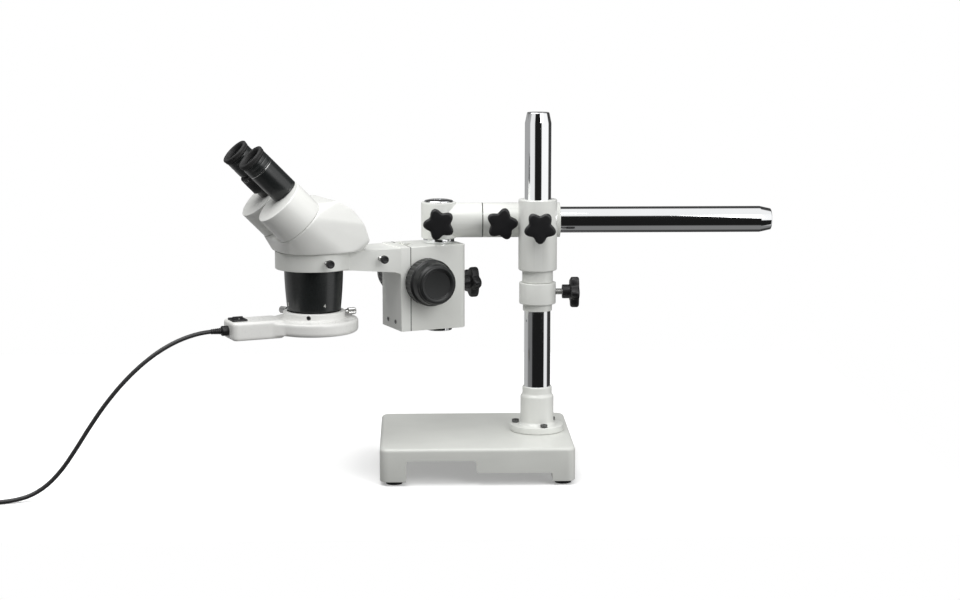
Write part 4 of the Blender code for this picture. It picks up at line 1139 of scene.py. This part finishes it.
def make_turret():
    """The turning objective carrier; its neck runs inside the head's light well."""
    side = [(barrel_radius(z), z) for z in (250.6, 248.0, 244.0, 240.0, 235.0, 230.0, 225.0,
                                            220.0, 215.0, 210.0, 205.0, 201.6)]
    profile = [(0, 196.0), (23.0, 196.0), (23.0, 262.0), (25.7, 262.0), (25.7, 251.2),
               (34.9, 251.2), *side, (31.4, 200.3), (29.0, 200.3), (29.0, 181.0), (0, 181.0)]
    holes = [cylinder(9.3, 170.0, 210.0, 64, at(y=y)) for y in (-OBJECTIVE_OFFSET, OBJECTIVE_OFFSET)]
    small = [cylinder(5.6, 170.0, 184.0, 48, at(x)) for x in (-SECOND_OFFSET, SECOND_OFFSET)]
    body = shaped(lathe(profile, 192, 0.4), cuts=holes + small)
    stand_for("turret", body, HEAD, TUBE_BLACK, edge=0.2)
    cell = [(8.0, 222.0), (9.0, 221.0), (9.0, 183.0), (8.4, 182.4), (7.0, 182.4), (7.0, 222.0)]
    glass = [(0, 186.4), (6.9, 186.2), (6.9, 184.6), (3.5, 184.1), (0, 184.0)]
    for name, sign in (("right", -1), ("left", 1)):
        where = shifted(HEAD, 0.0, sign * OBJECTIVE_OFFSET)
        stand_for(f"objective_{name}", lathe(cell, 72, 0.3), where, STEEL)
        extra(f"objective_glass_{name}", lathe(glass, 64, 0.2), where, GLASS, f"objective_{name}")
    small_cell = [(5.5, 183.9), (5.5, 181.8), (4.7, 181.4), (4.5, 181.4), (4.5, 183.9)]
    small_glass = [(0, 183.6), (4.4, 183.5), (4.4, 182.6), (2.4, 182.3), (0, 182.25)]
    for name, x in (("rear", SECOND_OFFSET), ("front", -SECOND_OFFSET)):
        where = shifted(HEAD, x)
        extra(f"second_objective_{name}", lathe(small_cell, 64, 0.2), where, STEEL, "turret")
        extra(f"second_objective_glass_{name}", lathe(small_glass, 48, 0.1), where, GLASS, "turret")
    number_z = 206.8
    for text, angle in (("4", -87.0), ("2", -177.0), ("4", 93.0), ("2", 3.0)):
        marks = number_marks(text, 6.0, angle, number_z)
        extra(f"turret_number_{text}_{'front' if angle < -80.0 else 'back'}", marks,
              HEAD, MARK_WHITE, "turret")


# ---- the ring light ----

def make_ring_light():
    """A moulded ring and its handle box, blended by the mould's fillets."""
    body = lathe([(0, 199.6), (37.2, 199.6), (37.2, 190.4), (51.4, 190.0), (53.0, 188.2),
                  (53.0, 176.8), (50.6, 174.0), (0, 174.0)], 192, 1.0)
    handle = box((-HANDLE_END, -21.5, 171.5), (-44.0, 21.5, 193.5), corner=6.0, rim=3.0)
    waist = slab([(-66.0, -19.0), (-44.0, -27.0), (-30.0, -38.0), (-30.0, 38.0), (-44.0, 27.0),
                  (-66.0, 19.0)], 174.5, 189.0)
    shell = melted(shaped(body, [handle, waist]), 1.0, 8)
    bore = cylinder(32.5, 165.0, 205.0, 160)
    channel = lathe([(48.8, 181.0), (48.8, 165.0), (36.7, 165.0), (36.7, 181.0)], 160, 0)
    pocket = box((-102.8, -9.8, 184.0), (-89.2, 9.8, 200.0))
    screws = [at(z=LAMP_SCREW_Z) @ turn_z(120.0 * n) @ ALONG_X for n in range(3)]
    holes = [cylinder(2.7, 31.0, 44.0, 32, screw) for screw in screws]
    body = shaped(shell, cuts=[bore, channel, pocket, *holes])
    stand_for("ring_light_housing", body, HEAD, WHITE_PLASTIC, sharp=50.0)
    for node, screw in zip(("lamp_thumbscrew_right", "lamp_thumbscrew_left"), screws):
        head = knurled_head(41.0, 53.0, 4.2, 28)
        stand_for(node, merge(head, threaded_shank(29.3, 41.0)), HEAD @ screw, STEEL)
    grub = shaped(cylinder(2.4, 29.3, 36.4, 40, soft=0.3), cuts=[slab(hexagon(2.5), 34.2, 38.0)])
    stand_for("lamp_set_screw", grub, HEAD @ screws[2], DARK_STEEL)


def make_lamp():
    """The circular tube, a turned ring."""
    middle_r = 42.75
    middle_z = 177.3
    stand_for("ring_lamp", lathe([(middle_r + x, middle_z + z) for x, z in circle(3.2, 20)], 160,
                                 soft=0), HEAD, TUBE_WHITE)


def make_switch():
    """A rocker in a raised bezel; its long way is across the handle."""
    outline = softened([(-8.2, -4.0), (8.2, -4.0), (8.2, 5.4), (4.6, 6.2), (0.0, 8.4), (-4.6, 6.2),
                        (-8.2, 5.4)], 0.9, closed=True)
    where = shifted(HEAD, -96.0, 0.0, 190.0) @ turn_z(90.0) @ turn_x(90.0)
    stand_for("rocker_switch", slab(outline, -6.2, 6.2), where, KNOB_BLACK, edge=0.4)
    rim = box((-105.0, -11.6, 192.6), (-87.0, 11.6, 195.7), corner=1.6, rim=0.7, foot=0)
    opening = box((-102.5, -9.2, 190.0), (-89.5, 9.2, 198.0), corner=0.6)
    extra("switch_bezel", shaped(rim, cuts=[opening]), HEAD, KNOB_BLACK, "ring_light_housing",
          edge=0.15)
    dots = [box((-96.6, y, 195.9), (-95.4, y + 1.0, 196.25), rim=0.05) for y in (-6.2, 5.2)]
    extra("switch_marks", merge(*dots), HEAD, MARK_WHITE, "rocker_switch")


def make_gland():
    """A ribbed strain relief that narrows towards the lead."""
    ribs = []
    for n in range(5):
        height = 20.2 - 2.3 * n
        radius = 3.15 + 0.16 * n
        ribs += [(radius, height), (radius, height - 1.2), (radius - 0.55, height - 1.5),
                 (radius - 0.55, height - 2.0)]
    profile = [(0, 21.0), (3.0, 21.0), *ribs, (5.2, 8.3), (6.0, 7.6), (6.0, GAP), (0, GAP)]
    where = shifted(HEAD, -HANDLE_END, 0.0, GLAND_Z) @ AGAINST_X
    stand_for("cord_gland", lathe(profile, 64, 0.25), where, KNOB_BLACK)


def make_plug():
    """A moulded two-blade plug lying beside the coil."""
    low, high = node_box("plug")
    where = at((low.x + high.x) / 2, low.y)
    body = box((-9.5, 18.0, GAP), (9.5, 46.0, 14.3), corner=3.0, rim=2.6)
    tail = moved(lathe([(0, 20.0), (5.4, 20.0), (4.9, 14.0), (3.2, 0.0), (0, 0.0)], 48, 0.5),
                 at(z=7.3) @ ALONG_Y)
    grooves = [box((side - 0.9, 24.0 + 3.4 * n, 1.0), (side + 0.9, 25.3 + 3.4 * n, 13.6))
               for side in (-9.6, 9.6) for n in range(5)]
    plug = stand_for("plug", shaped(body, [tail], grooves), where, KNOB_BLACK, edge=0.3)
    blades = [box((side - 0.8, 45.0, 4.2), (side + 0.8, 62.0, 10.4), rim=0.4)
              for side in (-6.3, 6.3)]
    blade_piece = extra("plug_blades", merge(*blades), where, BRASS, "plug", edge=0.2)
    return [plug, blade_piece]


# ---- main ----

make_camera()
make_world()
make_lights()
make_floor()

LOOK_OF_SLOT = {
    "base_enamel": BASE_ENAMEL, "stand_enamel": ENAMEL, "head_enamel": HEAD_ENAMEL,
    "chrome_rod": CHROME, "steel": STEEL, "black_plastic": KNOB_BLACK,
    "black_anodised": TUBE_BLACK, "black_rubber": RUBBER, "cord_jacket": JACKET, "glass": GLASS,
    "white_plastic": WHITE_PLASTIC, "lamp_tube": TUBE_WHITE,
}


def dress_nodes():
    """Gives every CAD node the finish of its slot; it shows on those that no piece stands for."""
    for node, obj in frame["nodes"].items():
        obj.data.materials.clear()
        obj.data.materials.append(LOOK_OF_SLOT[SLOT[node]])


dress_nodes()
make_base()
make_feet()
make_flange()
make_rods()
make_collar()
make_cross_block()
make_knuckle()
make_mounting_pin()
make_focus_housing()
make_focus_knobs()
make_carriage()
make_head_body()
make_ocular("right")
make_ocular("left")
make_turret()
make_ring_light()
make_lamp()
make_switch()
make_gland()
plug_pieces = make_plug()
lead, lead_start = make_cord()
